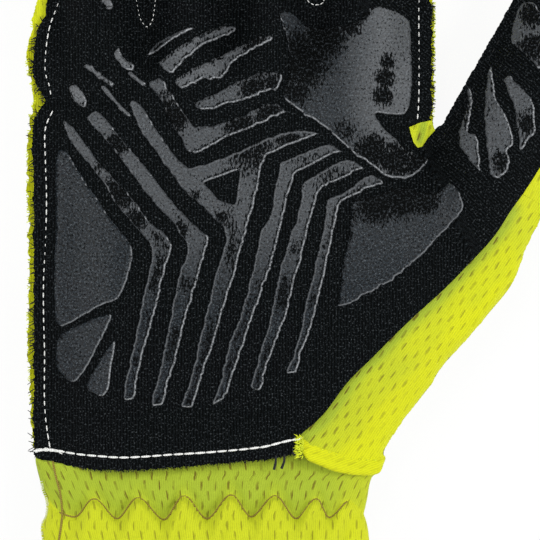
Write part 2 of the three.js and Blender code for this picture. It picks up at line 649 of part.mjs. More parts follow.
// Elastic: one flat loop inside the cuff, under the valleys of the gathers
function elasticLoop() {
  const [left, right] = cuffSpan(elasticY);
  const ends = [elasticY - elasticWidth / 2, elasticY, elasticY + elasticWidth / 2];
  const ring = (depth) => {
    const reach = elasticInset + depth;
    const xAt = (i) => mix(left + reach, right - reach, i / elasticSteps);
    const xs = Array.from({ length: elasticSteps + 1 }, (_, i) => xAt(i));
    const ceiling = (x) => Math.min(...ends.map((y) => cuffFrontTop(0)(x, y))) - cloth - gap - depth;
    const floor = (x) => Math.max(...ends.map((y) => cuffBackTop(0)(x, y))) + gap + depth;
    return [...xs.map((x) => [x, ceiling(x)]), ...xs.reverse().map((x) => [x, floor(x)])];
  };
  const [outer, inner] = [ring(0), ring(elasticThickness)];
  const positions = [[outer, ends[0]], [outer, ends[2]], [inner, ends[2]], [inner, ends[0]]].flatMap(
    ([points, y]) => points.flatMap(([x, z]) => [x, y, z]),
  );
  const count = outer.length;
  const faces = [];
  for (let edge = 0; edge < 4; edge += 1) {
    const next = (edge + 1) % 4;
    for (let k = 0; k < count; k += 1) {
      const [a, b] = [edge * count + k, edge * count + (k + 1) % count];
      const [c, d] = [next * count + (k + 1) % count, next * count + k];
      faces.push(a, b, c, a, c, d);
    }
  }
  const geometry = new THREE.BufferGeometry();
  geometry.setAttribute('position', new THREE.Float32BufferAttribute(positions, 3));
  geometry.setIndex(faces);
  return geometry;
}
piece(glove, 'wrist_elastic', elasticLoop(), elasticWhite, 0.8);

export default glove;
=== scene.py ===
"""Full-finger glove for the right hand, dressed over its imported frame.

The palm is black rib knit with a silicone grip print, the back is fluorescent knitted mesh, and the cuff is
gathered over an elastic. The glove lies on its back: +Y runs to the finger tips, +X to the thumb and +Z
out of the palm. Sizes are millimetres until a mesh is made, and then metres. Outlines are pixels of the
photograph, which PhotoFrame places on the glove.
"""
import logging
import math
from dataclasses import dataclass, field, replace
from enum import Enum
from functools import partial
from typing import Callable, Sequence

import bpy
import numpy as np
from mathutils.geometry import delaunay_2d_cdt
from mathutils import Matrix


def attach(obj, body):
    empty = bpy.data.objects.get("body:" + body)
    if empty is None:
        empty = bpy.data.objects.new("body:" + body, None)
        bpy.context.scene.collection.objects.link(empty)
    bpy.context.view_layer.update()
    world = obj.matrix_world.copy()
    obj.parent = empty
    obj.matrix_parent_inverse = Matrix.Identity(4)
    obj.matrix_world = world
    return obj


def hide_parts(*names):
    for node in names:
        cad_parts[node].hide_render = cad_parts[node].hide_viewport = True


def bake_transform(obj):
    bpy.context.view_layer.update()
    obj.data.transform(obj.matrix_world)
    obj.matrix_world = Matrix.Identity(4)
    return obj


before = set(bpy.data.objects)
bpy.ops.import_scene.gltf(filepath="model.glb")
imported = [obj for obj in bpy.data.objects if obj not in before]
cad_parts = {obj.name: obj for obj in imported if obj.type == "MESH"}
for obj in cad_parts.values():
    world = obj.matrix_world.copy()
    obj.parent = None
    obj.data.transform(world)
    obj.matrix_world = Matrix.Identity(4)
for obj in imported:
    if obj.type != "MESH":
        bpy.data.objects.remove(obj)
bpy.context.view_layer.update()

MM = 0.001
NOISE_CELLS = 64
CHUNK = 4000
CURVE_SAMPLES = 13
ROW_RATIO = 0.866
LOG = logging.getLogger("glove")

Array = np.ndarray
Height = Callable[[Array, Array], Array]
Points = Sequence[tuple[float, float]]


def limit(value: Array) -> Array:
    """Returns the value held between 0 and 1."""
    return np.clip(value, 0.0, 1.0)


def ease(value: Array) -> Array:
    """Returns 3t^2 - 2t^3 of the value held between 0 and 1."""
    t = limit(value)
    return t * t * (3 - 2 * t)


def mix(low: Array, high: Array, share: Array) -> Array:
    """Returns the value that lies the given share of the way from low to high."""
    return low + (high - low) * share


def dome(distance: Array, run: float) -> Array:
    """Returns a parabola that rises from 0 at the edge to 1 at the end of its run."""
    return 1 - (1 - limit(distance / run)) ** 2


def soft_max(a: Array, b: Array, softness: float) -> Array:
    """Returns the larger of two heights, with the kink between them rounded over the softness."""
    overlap = np.maximum(softness - np.abs(a - b), 0) / softness
    return np.maximum(a, b) + overlap**2 * softness / 4


def value_noise(x: Array, y: Array, size: float, seed: int) -> Array:
    """Smooth noise over the plane: random values on a square lattice, eased between its corners.

    Args:
        x: Places across, in mm.
        y: Places along, in mm.
        size: Width of a lattice cell, in mm.
        seed: Seed of the random lattice.

    Returns:
        One value from -1 to 1 for each place.
    """
    table = np.random.default_rng(seed).uniform(-1, 1, (NOISE_CELLS, NOISE_CELLS))
    u, v = np.asarray(x) / size, np.asarray(y) / size
    i, j = np.floor(u).astype(int), np.floor(v).astype(int)
    fu, fv = ease(u - i), ease(v - j)

    def corner(right: int, up: int) -> Array:
        """Returns the value at one corner of each place's cell."""
        return table[(i + right) % NOISE_CELLS, (j + up) % NOISE_CELLS]
    return mix(mix(corner(0, 0), corner(1, 0), fu), mix(corner(0, 1), corner(1, 1), fu), fv)


@dataclass(frozen=True)
class PhotoFrame:
    """Places the photograph's pixels on the glove: one scale, and the pixel that holds the origin."""

    mm_per_pixel: float = 0.2625
    origin: tuple[float, float] = (230.0, 300.0)
    size: int = 540

    def place(self, pixels: Points) -> Array:
        """Returns the pixels as rows of x and y in mm."""
        at = np.asarray(pixels, float).reshape(-1, 2)
        return (at - self.origin) * (self.mm_per_pixel, -self.mm_per_pixel)

    def spot(self, column: float, row: float) -> Array:
        """Returns x and y of one pixel in mm."""
        return self.place([(column, row)])[0]

    def curve(self, pixels: Points, step: float) -> Array:
        """Returns a smooth line through the pixels in mm, sampled at an even step."""
        return curve_through(self.place(pixels), step)


PHOTO = PhotoFrame()
CROTCH = PHOTO.spot(434.5, 130)
FINGER_SLOTS = ((146.5, -3), (231.5, -24), (316.5, -14))
FRONT_ROOTS = {"little": (3.5, 3.4), "ring": (2.6, 2.2), "middle": (2.2, 2.8), "index": (2.4, 3.6)}
BACK_ROOTS = {"little": (6.9, 3.4), "ring": (2.6, 2.2), "middle": (2.2, 2.8), "index": (2.4, 4.3)}
THUMB_LEFT_ROOT = -16.8
THUMB_SPLIT = 9.6
FRONT_FOLDS = (
    (((38, 101), (52, 106), (72, 110), (92, 109), (122, 93), (143, 74), (160, 52)), 1.1, 1.5),
    (((478, 38), (508, 64), (546, 92)), 0.8, 2.2),
    (((432, 146), (441, 168), (446, 196), (436, 220)), 0.9, 2.4),
)


def curve_through(points: Array, step: float) -> Array:
    """Centripetal Catmull-Rom curve through the points, sampled at an even step.

    Args:
        points: Rows of x and y in mm, at least two.
        step: Distance between samples in mm.

    Returns:
        Rows of x and y along the curve, both ends included.
    """
    points = np.asarray(points, float)
    if len(points) == 2:
        return resample(points, step)
    padded = np.vstack([2 * points[0] - points[1], points, 2 * points[-1] - points[-2]])
    p0, p1, p2, p3 = padded[:-3], padded[1:-2], padded[2:-1], padded[3:]
    gaps = [np.maximum(np.linalg.norm(b - a, axis=1), 1e-6) ** 0.5 for a, b in ((p0, p1), (p1, p2), (p2, p3))]
    d0, d1, d2 = (gap[:, None] for gap in gaps)
    m1 = (p2 - p1) + d1 * ((p1 - p0) / d0 - (p2 - p0) / (d0 + d1))
    m2 = (p2 - p1) + d1 * ((p3 - p2) / d2 - (p3 - p1) / (d1 + d2))
    t = np.linspace(0, 1, CURVE_SAMPLES)[:-1, None, None]
    blend = (2 * t**3 - 3 * t**2 + 1) * p1 + (t**3 - 2 * t**2 + t) * m1
    blend = blend + (3 * t**2 - 2 * t**3) * p2 + (t**3 - t**2) * m2
    return resample(np.vstack([blend.transpose(1, 0, 2).reshape(-1, 2), points[-1]]), step)


def closed_curve(points: Array, step: float) -> Array:
    """Returns a smooth closed outline through the points; its last point stops short of the first."""
    traced = curve_through(np.vstack([points[-2:], points, points[:2]]), step)
    away, half = np.linalg.norm(traced - points[0], axis=1), len(traced) // 2
    return traced[away[: len(traced) // 3].argmin():half + away[half:].argmin()]


def run_along(path: Array) -> Array:
    """Returns how far along the path each of its points lies."""
    return np.concatenate([[0], np.cumsum(np.linalg.norm(np.diff(path, axis=0), axis=1))])


def resample(path: Array, step: float) -> Array:
    """Returns the path with points at an even step, ends kept; it may have two or three coordinates."""
    lengths = run_along(path)
    at = np.linspace(0, lengths[-1], max(2, int(round(lengths[-1] / step)) + 1))
    return np.stack([np.interp(at, lengths, column) for column in path.T], axis=1)


def tangents(path: Array) -> Array:
    """Returns the unit direction of the path at each of its points."""
    step = np.gradient(path, axis=0)
    return step / np.maximum(np.linalg.norm(step, axis=1, keepdims=True), 1e-9)


def right_of(path: Array) -> Array:
    """Returns the unit direction to the right of a flat path at each of its points."""
    way = tangents(path)
    return np.stack([way[:, 1], -way[:, 0]], axis=1)


@dataclass(frozen=True)
class Stroke:
    """One stretch of a pattern piece's edge, with the way its cloth frays and waves there."""

    points: Array
    fray: float = 0.0
    wave: float = 0.0
    wave_pitch: float = 7.0
    straight: bool = False
    still_end: float = 1.5

    def trace(self, step: float, seed: int) -> Array:
        """Points along the stretch, pushed sideways by the wave and by the torn yarn ends.

        Args:
            step: Distance between points in mm.
            seed: Seed of the fray.

        Returns:
            Rows of x and y; the two ends stay where they are.
        """
        sampled = resample if self.straight else curve_through
        path = sampled(np.asarray(self.points, float), step)
        if self.fray == 0 and self.wave == 0:
            return path
        along = np.arange(len(path)) * step
        ends = ease(along / self.still_end) * ease(along[::-1] / self.still_end)
        torn = np.random.default_rng(seed).uniform(-1, 1, len(path)) * self.fray
        wave = value_noise(along, along * 0 + seed, self.wave_pitch / 2, seed) * self.wave
        return path + right_of(path) * ((torn + wave) * ends)[:, None]


def line(*points: Array) -> Stroke:
    """Returns a straight clean stretch between points."""
    return Stroke(np.array(points), straight=True)


def outline_of(strokes: Sequence[Stroke], step: float, seed: int = 1) -> Array:
    """Returns one closed outline from strokes that meet end to end; the last joins the first."""
    return np.vstack([stroke.trace(step, seed + k)[:-1] for k, stroke in enumerate(strokes)])


def inside(points: Array, outline: Array) -> Array:
    """Even-odd test: whether each point lies inside the closed outline.

    Args:
        points: Rows of x and y.
        outline: Rows of x and y around the shape.

    Returns:
        One truth value for each point.
    """
    ax, ay = outline.T
    bx, by = np.roll(ax, -1), np.roll(ay, -1)
    slope = np.where(by == ay, 1, by - ay)
    found = np.zeros(len(points), bool)
    for part in np.array_split(np.arange(len(points)), max(1, len(points) // CHUNK)):
        x, y = points[part, 0][:, None], points[part, 1][:, None]
        spans = (ay > y) != (by > y)
        found[part] = (spans & (x < (bx - ax) * (y - ay) / slope + ax)).sum(axis=1) % 2 == 1
    return found


def in_any(points: Array, outlines: Sequence[Array]) -> Array:
    """Returns whether each point lies inside one of the outlines at least."""
    found = np.zeros(len(points), bool)
    for outline in outlines:
        found |= inside(points, outline)
    return found


def distance_to(points: Array, path: Array, closed: bool = False) -> Array:
    """Shortest distance of each point from a chain of straight pieces.

    Args:
        points: Rows of x and y.
        path: Rows of x and y along the chain.
        closed: Whether the last point joins the first.

    Returns:
        One distance for each point, in mm.
    """
    start = path if closed else path[:-1]
    end = np.roll(path, -1, axis=0) if closed else path[1:]
    run = end - start
    square = np.maximum((run**2).sum(axis=1), 1e-12)
    found = np.empty(len(points))
    for part in np.array_split(np.arange(len(points)), max(1, len(points) // CHUNK)):
        offset = points[part][:, None, :] - start[None]
        share = limit((offset * run).sum(axis=2) / square)
        gap = offset - share[..., None] * run
        found[part] = np.sqrt((gap**2).sum(axis=2).min(axis=1))
    return found


@dataclass
class Shell:
    """A closed surface in mm: vertices, triangles, and the flat cloth coordinates that its weave follows."""

    verts: Array
    faces: Array
    cloth: Array
    marks: dict[str, Array] = field(default_factory=dict)


def cut_pattern(outline: Array, spacing: float, holes: Sequence[Array] = (),
                rings: Sequence[float] = ()) -> tuple[Array, Array, Array]:
    """Flat pattern piece: the outline filled with triangles over an even staggered grid.

    A free outline can't be a grid of two parameters, so it is triangulated. Rings are rows of points at set
    distances inside the outline, where a rounded edge needs them.

    Args:
        outline: Rows of x and y around the piece.
        spacing: Distance between inner points in mm.
        holes: Outlines of windows in the piece.
        rings: Distances of the edge rows from the outline in mm.

    Returns:
        Places as rows of x and y, triangles that face up, and each place's distance from the edge.
    """
    edges = [outline, *holes]

    def depth(at: Array) -> Array:
        """Returns each place's distance from the nearest edge."""
        return np.min([distance_to(at, edge, closed=True) for edge in edges], axis=0)

    def in_piece(at: Array) -> Array:
        """Returns whether each place lies in the piece and in no window."""
        return inside(at, outline) & ~in_any(at, holes)

    low, high = outline.min(axis=0), outline.max(axis=0)
    rows = np.arange(low[1], high[1], spacing * ROW_RATIO)
    columns = np.arange(low[0], high[0], spacing)
    grid = np.stack(np.meshgrid(columns, rows), axis=2)
    grid[1::2, :, 0] += spacing / 2
    grid = grid.reshape(-1, 2)
    grid = grid[in_piece(grid)]
    clear = max([spacing * 0.5, *[ring + spacing * 0.35 for ring in rings]])
    places = [*edges]
    for ring in rings:
        for edge in edges:
            side = right_of(np.vstack([edge[-1:], edge, edge[:1]]))[1:-1]
            for sign in (1, -1):
                row = edge + side * ring * sign
                row = row[in_piece(row)]
                places.append(row[depth(row) > ring * 0.93])
    places.append(grid[depth(grid) > clear])
    links, start = [], 0
    for edge in edges:
        links += [(start + k, start + (k + 1) % len(edge)) for k in range(len(edge))]
        start += len(edge)
    made = delaunay_2d_cdt([tuple(p) for p in np.vstack(places)], links, [], 0, 1e-6)
    flat = np.array([tuple(p) for p in made[0]])
    faces = np.array(made[2], int)
    faces = faces[in_piece(flat[faces].mean(axis=1))]
    a, b, c = (flat[faces[:, k]] for k in range(3))
    area = (b[:, 0] - a[:, 0]) * (c[:, 1] - a[:, 1]) - (b[:, 1] - a[:, 1]) * (c[:, 0] - a[:, 0])
    faces = np.where(area[:, None] < 0, faces[:, ::-1], faces)[np.abs(area) > 1e-9]
    used, faces = np.unique(faces, return_inverse=True)
    flat = flat[used]
    return flat, faces.reshape(-1, 3), depth(flat)


def shell_between(flat: Array, faces: Array, top: Array, under: Array, cloth: Array) -> Shell:
    """Closed shell of a pattern piece: its upper face, its lower face and the rim between them.

    Args:
        flat: Rows of x and y.
        faces: Triangles that face up.
        top: Height of the upper face at each place.
        under: Height of the lower face at each place.
        cloth: Cloth coordinates of each place.

    Returns:
        The shell, upper vertices first.
    """
    count = len(flat)
    verts = np.vstack([np.column_stack([flat, top]), np.column_stack([flat, under])])
    directed = np.vstack([faces[:, [0, 1]], faces[:, [1, 2]], faces[:, [2, 0]]])
    code = directed[:, 0] * count + directed[:, 1]
    back = directed[:, 1] * count + directed[:, 0]
    a, b = directed[~np.isin(code, back)].T
    rim = np.vstack([np.column_stack([a, a + count, b + count]), np.column_stack([a, b + count, b])])
    return Shell(verts, np.vstack([faces, faces[:, ::-1] + count, rim]), np.vstack([cloth, cloth]))


def quads_of(index: Array) -> Array:
    """Returns the four corners of each cell in a grid of vertex numbers."""
    return np.stack([index[:-1, :-1], index[:-1, 1:], index[1:, 1:], index[1:, :-1]], axis=2).reshape(-1, 4)


def grid_shell(outer: Array, inner: Array, cloth: Array, closed: bool = False) -> Shell:
    """Closed shell between two grids of points.

    Args:
        outer: Points of the outer face, with two grid directions and three coordinates.
        inner: Points of the inner face, in the same order.
        cloth: Cloth coordinates on the same grid.
        closed: Whether the last column joins the first.

    Returns:
        The shell, outer vertices first.
    """
    rows, columns = outer.shape[:2]
    count = rows * columns
    index = np.arange(count).reshape(rows, columns)
    wide = np.hstack([index, index[:, :1]]) if closed else index
    quads = quads_of(wide)
    rims = [wide[0], wide[-1][::-1]] + ([] if closed else [index[:, 0][::-1], index[:, -1]])
    sides = [np.stack([r[:-1], r[:-1] + count, r[1:] + count, r[1:]], axis=1) for r in rims]
    quads = np.vstack([quads, quads[:, ::-1] + count, *sides])
    faces = np.vstack([quads[:, [0, 1, 2]], quads[:, [0, 2, 3]]])
    verts = np.vstack([outer.reshape(-1, 3), inner.reshape(-1, 3)])
    return Shell(verts, faces, np.vstack([cloth.reshape(-1, 2)] * 2))


def tube(path: Array, radius: Array, sides: int = 6) -> Shell:
    """Round thread carried along a path: a ring of points about each place, closed at both ends.

    Args:
        path: Rows of x, y and z in mm.
        radius: Radius at each place, or one radius.
        sides: Points in a ring.

    Returns:
        The closed thread.
    """
    way = tangents(path)
    level = np.tile([0.0, 0.0, 1.0], (len(path), 1))
    level[np.abs(way[:, 2]) > 0.9] = [1.0, 0.0, 0.0]
    side = np.cross(way, level)
    side /= np.linalg.norm(side, axis=1, keepdims=True)
    up = np.cross(side, way)
    angle = np.arange(sides) * 2 * np.pi / sides
    reach = np.broadcast_to(np.asarray(radius, float), (len(path),))[:, None, None]
    ring = side[:, None] * np.cos(angle)[None, :, None] + up[:, None] * np.sin(angle)[None, :, None]
    points = path[:, None] + ring * reach
    start = len(path) * sides
    index = np.arange(start).reshape(len(path), sides)
    wide = np.hstack([index, index[:, :1]])
    quads = quads_of(wide)
    caps = [np.stack([wide[0, 1:], wide[0, :-1], np.full(sides, start)], 1),
            np.stack([wide[-1, :-1], wide[-1, 1:], np.full(sides, start + 1)], 1)]
    verts = np.vstack([points.reshape(-1, 3), path[:1], path[-1:]])
    along = run_along(path)
    cloth = np.stack(np.broadcast_arrays((angle / (2 * np.pi))[None], along[:, None]), axis=2).reshape(-1, 2)
    cloth = np.vstack([cloth, [[0, along[0]], [0, along[-1]]]])
    return Shell(verts, np.vstack([quads[:, [0, 1, 2]], quads[:, [0, 2, 3]], *caps]), cloth)


def joined(shells: Sequence[Shell]) -> Shell:
    """Returns several shells as one, each still a closed body of its own."""
    starts = np.cumsum([0] + [len(shell.verts) for shell in shells[:-1]])
    faces = np.vstack([shell.faces + start for shell, start in zip(shells, starts)])
    return Shell(np.vstack([s.verts for s in shells]), faces, np.vstack([s.cloth for s in shells]))


class Slot(Enum):
    """Material slots of the record."""

    MESH = "mesh_yellow"
    KNIT = "knit_black"
    PRINT = "silicone_grip"
    ELASTIC = "elastic_band"


@dataclass(frozen=True)
class Finish:
    """A material, the record's slot for it, and the angle in degrees past which its edges are drawn sharp."""

    material: bpy.types.Material
    slot: Slot
    sharp: float = 60


def make_piece(name: str, shell: Shell, finish: Finish, node: str = "",
               body: str = "palm") -> bpy.types.Object:
    """Turns a shell into an object at the origin, in metres, and ties it to its body, if it has one.

    Args:
        name: Name of the piece.
        shell: Its surface in mm.
        finish: Its finish.
        node: The CAD node that it replaces, if any.
        body: The body that carries it; empty where it is tied to none.

    Returns:
        The new object.
    """
    mesh = bpy.data.meshes.new(name)
    mesh.vertices.add(len(shell.verts))
    mesh.vertices.foreach_set("co", (shell.verts * MM).astype(np.float32).ravel())
    mesh.loops.add(shell.faces.size)
    mesh.loops.foreach_set("vertex_index", shell.faces.astype(np.int32).ravel())
    mesh.polygons.add(len(shell.faces))
    mesh.polygons.foreach_set("loop_start", np.arange(0, shell.faces.size, 3, dtype=np.int32))
    mesh.update(calc_edges=True)
    layer = mesh.uv_layers.new(name="cloth_mm")
    layer.uv.foreach_set("vector", shell.cloth[shell.faces.ravel()].astype(np.float32).ravel())
    for key, values in shell.marks.items():
        mesh.attributes.new(key, "FLOAT", "POINT").data.foreach_set("value", values.astype(np.float32))
    mesh.validate()
    mesh.shade_smooth()
    mesh.set_sharp_from_angle(angle=math.radians(finish.sharp))
    mesh.materials.append(finish.material)
    made = bpy.data.objects.new(name, mesh)
    bpy.context.scene.collection.objects.link(made)
    if node:
        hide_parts(node)
    if body:
        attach(made, body)
    LOG.info("%s: %d triangles", name, len(shell.faces))
    return made


def linear(hex_colour: str) -> tuple[float, float, float, float]:
    """Returns an sRGB hex colour as linear red, green, blue and alpha."""
    parts = np.array([int(hex_colour[k:k + 2], 16) for k in (1, 3, 5)]) / 255
    values = np.where(parts <= 0.04045, parts / 12.92, ((parts + 0.055) / 1.055) ** 2.4)
    return (*values.tolist(), 1.0)


def add(tree: bpy.types.NodeTree, kind: str, inputs: dict | None = None) -> bpy.types.Node:
    """Adds one shader node with its settings and its links.

    Args:
        tree: The material's node tree.
        kind: Blender's node type without its first word, and after a point its operation or data type.
        inputs: What each option or socket of the node gets: a value, a socket, or a node, which gives its
            first output in use.

    Returns:
        The node.
    """
    family, _, option = kind.partition(".")
    made = tree.nodes.new("ShaderNode" + family)
    if option:
        setattr(made, "data_type" if family == "Mix" else "operation", option)
    for key, value in (inputs or {}).items():
        if isinstance(value, bpy.types.Node):
            value = next(socket for socket in value.outputs if socket.enabled)
        if isinstance(value, bpy.types.NodeSocket):
            tree.links.new(value, made.inputs[key])
        elif isinstance(key, str) and hasattr(made, key):
            setattr(made, key, value)
        else:
            made.inputs[key].default_value = value
    return made


def new_material(name: str) -> tuple[bpy.types.Material, Callable[..., bpy.types.Node]]:
    """Returns an empty node material and what adds a node to it."""
    material = bpy.data.materials.new(name)
    material.use_nodes = True
    material.node_tree.nodes.clear()
    return material, partial(add, material.node_tree)


def finish_surface(node: Callable[..., bpy.types.Node], inputs: dict) -> None:
    """Adds the shader and the output."""
    node("OutputMaterial", {"Surface": node("BsdfPrincipled", inputs)})


@dataclass(frozen=True)
class RibKnit:
    """Black polyester rib knit, circular knitted and left matt.

    The eye gets fine parallel ridges, a little lighter than the grooves between them, broken into loops, with
    pale specks of loose filament. Ribs are drawn at their real pitch.
    """

    name: str = "black_polyester_rib_knit"
    rib_pitch: float = 0.8
    loop_pitch: float = 0.55
    groove: str = "#000101"
    ridge: str = "#171C1F"
    speck: str = "#464B4E"

    def make(self) -> Finish:
        """Returns the knit: a cosine across the ribs times a loop pattern along them, with specks of lint."""
        material, node = new_material(self.name)
        cloth = node("UVMap", {"uv_map": "cloth_mm"})
        wander = node("TexNoise", {"Scale": 0.35, "Detail": 2.0, "Vector": cloth})
        parts = node("SeparateXYZ", {"Vector": cloth})
        shift = node("Math.MULTIPLY_ADD", {0: wander, 1: 0.5, 2: parts.outputs["X"]})
        turns = node("Math.MULTIPLY", {0: shift, 1: 2 * math.pi / self.rib_pitch})
        wave = node("Math.COSINE", {0: turns})
        rib = node("MapRange", {"From Min": -0.7, "From Max": 1.0, "Value": wave})
        loops = node("Math.MULTIPLY", {0: parts.outputs["Y"], 1: 2 * math.pi / self.loop_pitch})
        loop_wave = node("Math.SINE", {0: loops})
        loop = node("MapRange", {"From Min": -1.0, "From Max": 1.0, "To Min": 0.7, "Value": loop_wave})
        knit = node("Math.MULTIPLY", {0: rib, 1: loop})
        yarn = node("TexNoise", {"Scale": 1.6, "Detail": 3.0, "Roughness": 0.7, "Vector": cloth})
        worn = node("MapRange", {"From Min": 0.36, "From Max": 0.66, "To Min": 0.05, "Value": yarn})
        height = node("Math.MULTIPLY", {0: knit, 1: worn})
        base = node("Mix.RGBA", {0: height, 6: linear(self.groove), 7: linear(self.ridge)})
        lint = node("TexNoise", {"Scale": 2.1, "Detail": 2.0, "Vector": cloth})
        fleck = node("MapRange", {"From Min": 0.58, "From Max": 0.74, "To Max": 0.8, "Value": lint})
        colour = node("Mix.RGBA", {0: fleck, 6: base, 7: linear(self.speck)})
        bump = node("Bump", {"Strength": 0.6, "Distance": 0.25 * MM, "Height": height})
        finish_surface(node, {"Roughness": 0.8, "Specular IOR Level": 0.05, "Base Color": colour,
                              "Normal": bump})
        return Finish(material, Slot.KNIT)


@dataclass(frozen=True)
class EyeletMesh:
    """Fluorescent knitted polyester mesh with staggered slit holes.

    The eye gets an even acid yellow, greener where the cloth is stretched over the dark inside and where
    painted shade falls, rows of short dark slits, and a fine loop texture between them. Slits are drawn at
    their real size and pitch.
    """

    name: str = "fluorescent_polyester_mesh"
    pitch_across: float = 3.9
    pitch_along: float = 2.6
    slit_width: float = 0.46
    slit_length: float = 3.0
    wale_pitch: float = 0.6
    yarn: str = "#CBD014"
    # Colour of cloth stretched over the dark inside, also used as painted shade.
    stretched_and_shaded: str = "#9CAF2E"
    slit: str = "#6A5F1A"

    def make(self) -> Finish:
        """Returns the mesh cloth: a staggered lattice of ellipses over a noise of loops."""
        material, node = new_material(self.name)
        cloth = node("UVMap", {"uv_map": "cloth_mm"})
        wander = node("TexNoise", {"Scale": 0.12, "Detail": 2.0, "Vector": cloth})
        pushed = node("VectorMath.MULTIPLY_ADD", {0: wander.outputs["Color"], 1: (1.1, 1.1, 0.0), 2: cloth})
        cells = node("VectorMath.MULTIPLY", {0: pushed,
                                             1: (1 / self.pitch_across, 1 / self.pitch_along, 0.0)})
        parts = node("SeparateXYZ", {"Vector": cells})
        row = node("Math.FLOOR", {0: parts.outputs["Y"]})
        half = node("Math.MULTIPLY", {0: row, 1: 0.5})
        across = node("Math.ADD", {0: parts.outputs["X"], 1: half})
        place = node("CombineXYZ", {"X": across, "Y": parts.outputs["Y"]})
        inside_cell = node("VectorMath.FRACTION", {0: place})
        centred = node("VectorMath.SUBTRACT", {0: inside_cell, 1: (0.5, 0.5, 0.0)})
        stretch = (2 * self.pitch_across / self.slit_width, 2 * self.pitch_along / self.slit_length, 0.0)
        scaled = node("VectorMath.MULTIPLY", {0: centred, 1: stretch})
        reach = node("VectorMath.LENGTH", {0: scaled})
        hole = node("MapRange", {"From Min": 1.25, "From Max": 0.6, "Value": reach})
        wide = (2 * self.pitch_across / (2.6 * self.slit_width), 2 * self.pitch_along / self.slit_length, 0.0)
        around = node("VectorMath.MULTIPLY", {0: centred, 1: wide})
        spread = node("VectorMath.LENGTH", {0: around})
        zone = node("MapRange", {"From Min": 1.2, "From Max": 0.7, "Value": spread})
        sides = node("SeparateXYZ", {"Vector": pushed})
        turns = node("Math.MULTIPLY", {0: sides.outputs["X"], 1: 2 * math.pi / self.wale_pitch})
        wale = node("Math.COSINE", {0: turns})
        loops = node("TexNoise", {"Scale": 1.3, "Detail": 3.0, "Roughness": 0.7, "Vector": cloth})
        broken = node("Math.MULTIPLY_ADD", {0: loops, 1: 3.2, 2: -1.6})
        uneven = node("Math.ADD", {0: wale, 1: broken})
        groove = node("MapRange", {"From Min": -0.1, "From Max": 1.3, "Value": uneven})
        hatch = node("Math.MULTIPLY", {0: zone, 1: groove})
        slot = node("Math.MAXIMUM", {0: hole, 1: hatch})
        grain = node("TexNoise", {"Scale": 1.9, "Detail": 3.0, "Roughness": 0.65, "Vector": cloth})
        # This attribute holds the stretch over the dark inside and painted shade, which pieces set where
        # shadow falls.
        depth = node("Attribute", {"attribute_name": "stretch"})
        shade = node("Math.MULTIPLY_ADD", {0: grain, 1: 0.35, 2: depth.outputs["Fac"]})
        tone = node("MapRange", {"From Min": 0.12, "From Max": 1.15, "Value": shade})
        base = node("Mix.RGBA", {0: tone, 6: linear(self.yarn), 7: linear(self.stretched_and_shaded)})
        seen = node("Math.MULTIPLY_ADD", {"use_clamp": True, 0: depth.outputs["Fac"], 1: 0.45, 2: 0.52})
        slack = node("TexNoise", {"Scale": 0.22, "Detail": 1.0, "Vector": cloth})
        open_share = node("MapRange", {"From Min": 0.36, "From Max": 0.56, "To Min": 0.35, "Value": slack})
        opened = node("Math.MULTIPLY", {0: seen, 1: open_share})
        cut = node("Math.MULTIPLY", {0: slot, 1: opened})
        ribbed = node("Math.MULTIPLY", {0: groove, 1: 0.24})
        dark = node("Math.MAXIMUM", {0: cut, 1: ribbed})
        colour = node("Mix.RGBA", {0: dark, 6: base, 7: linear(self.slit)})
        ridge = node("Math.MULTIPLY_ADD", {0: groove, 1: -0.35, 2: grain})
        relief = node("Math.MULTIPLY_ADD", {0: hole, 1: -1.0, 2: ridge})
        bump = node("Bump", {"Strength": 0.5, "Distance": 0.25 * MM, "Height": relief})
        finish_surface(node, {"Roughness": 0.8, "Specular IOR Level": 0.15, "Sheen Weight": 0.05,
                              "Base Color": colour, "Normal": bump})
        return Finish(material, Slot.MESH)


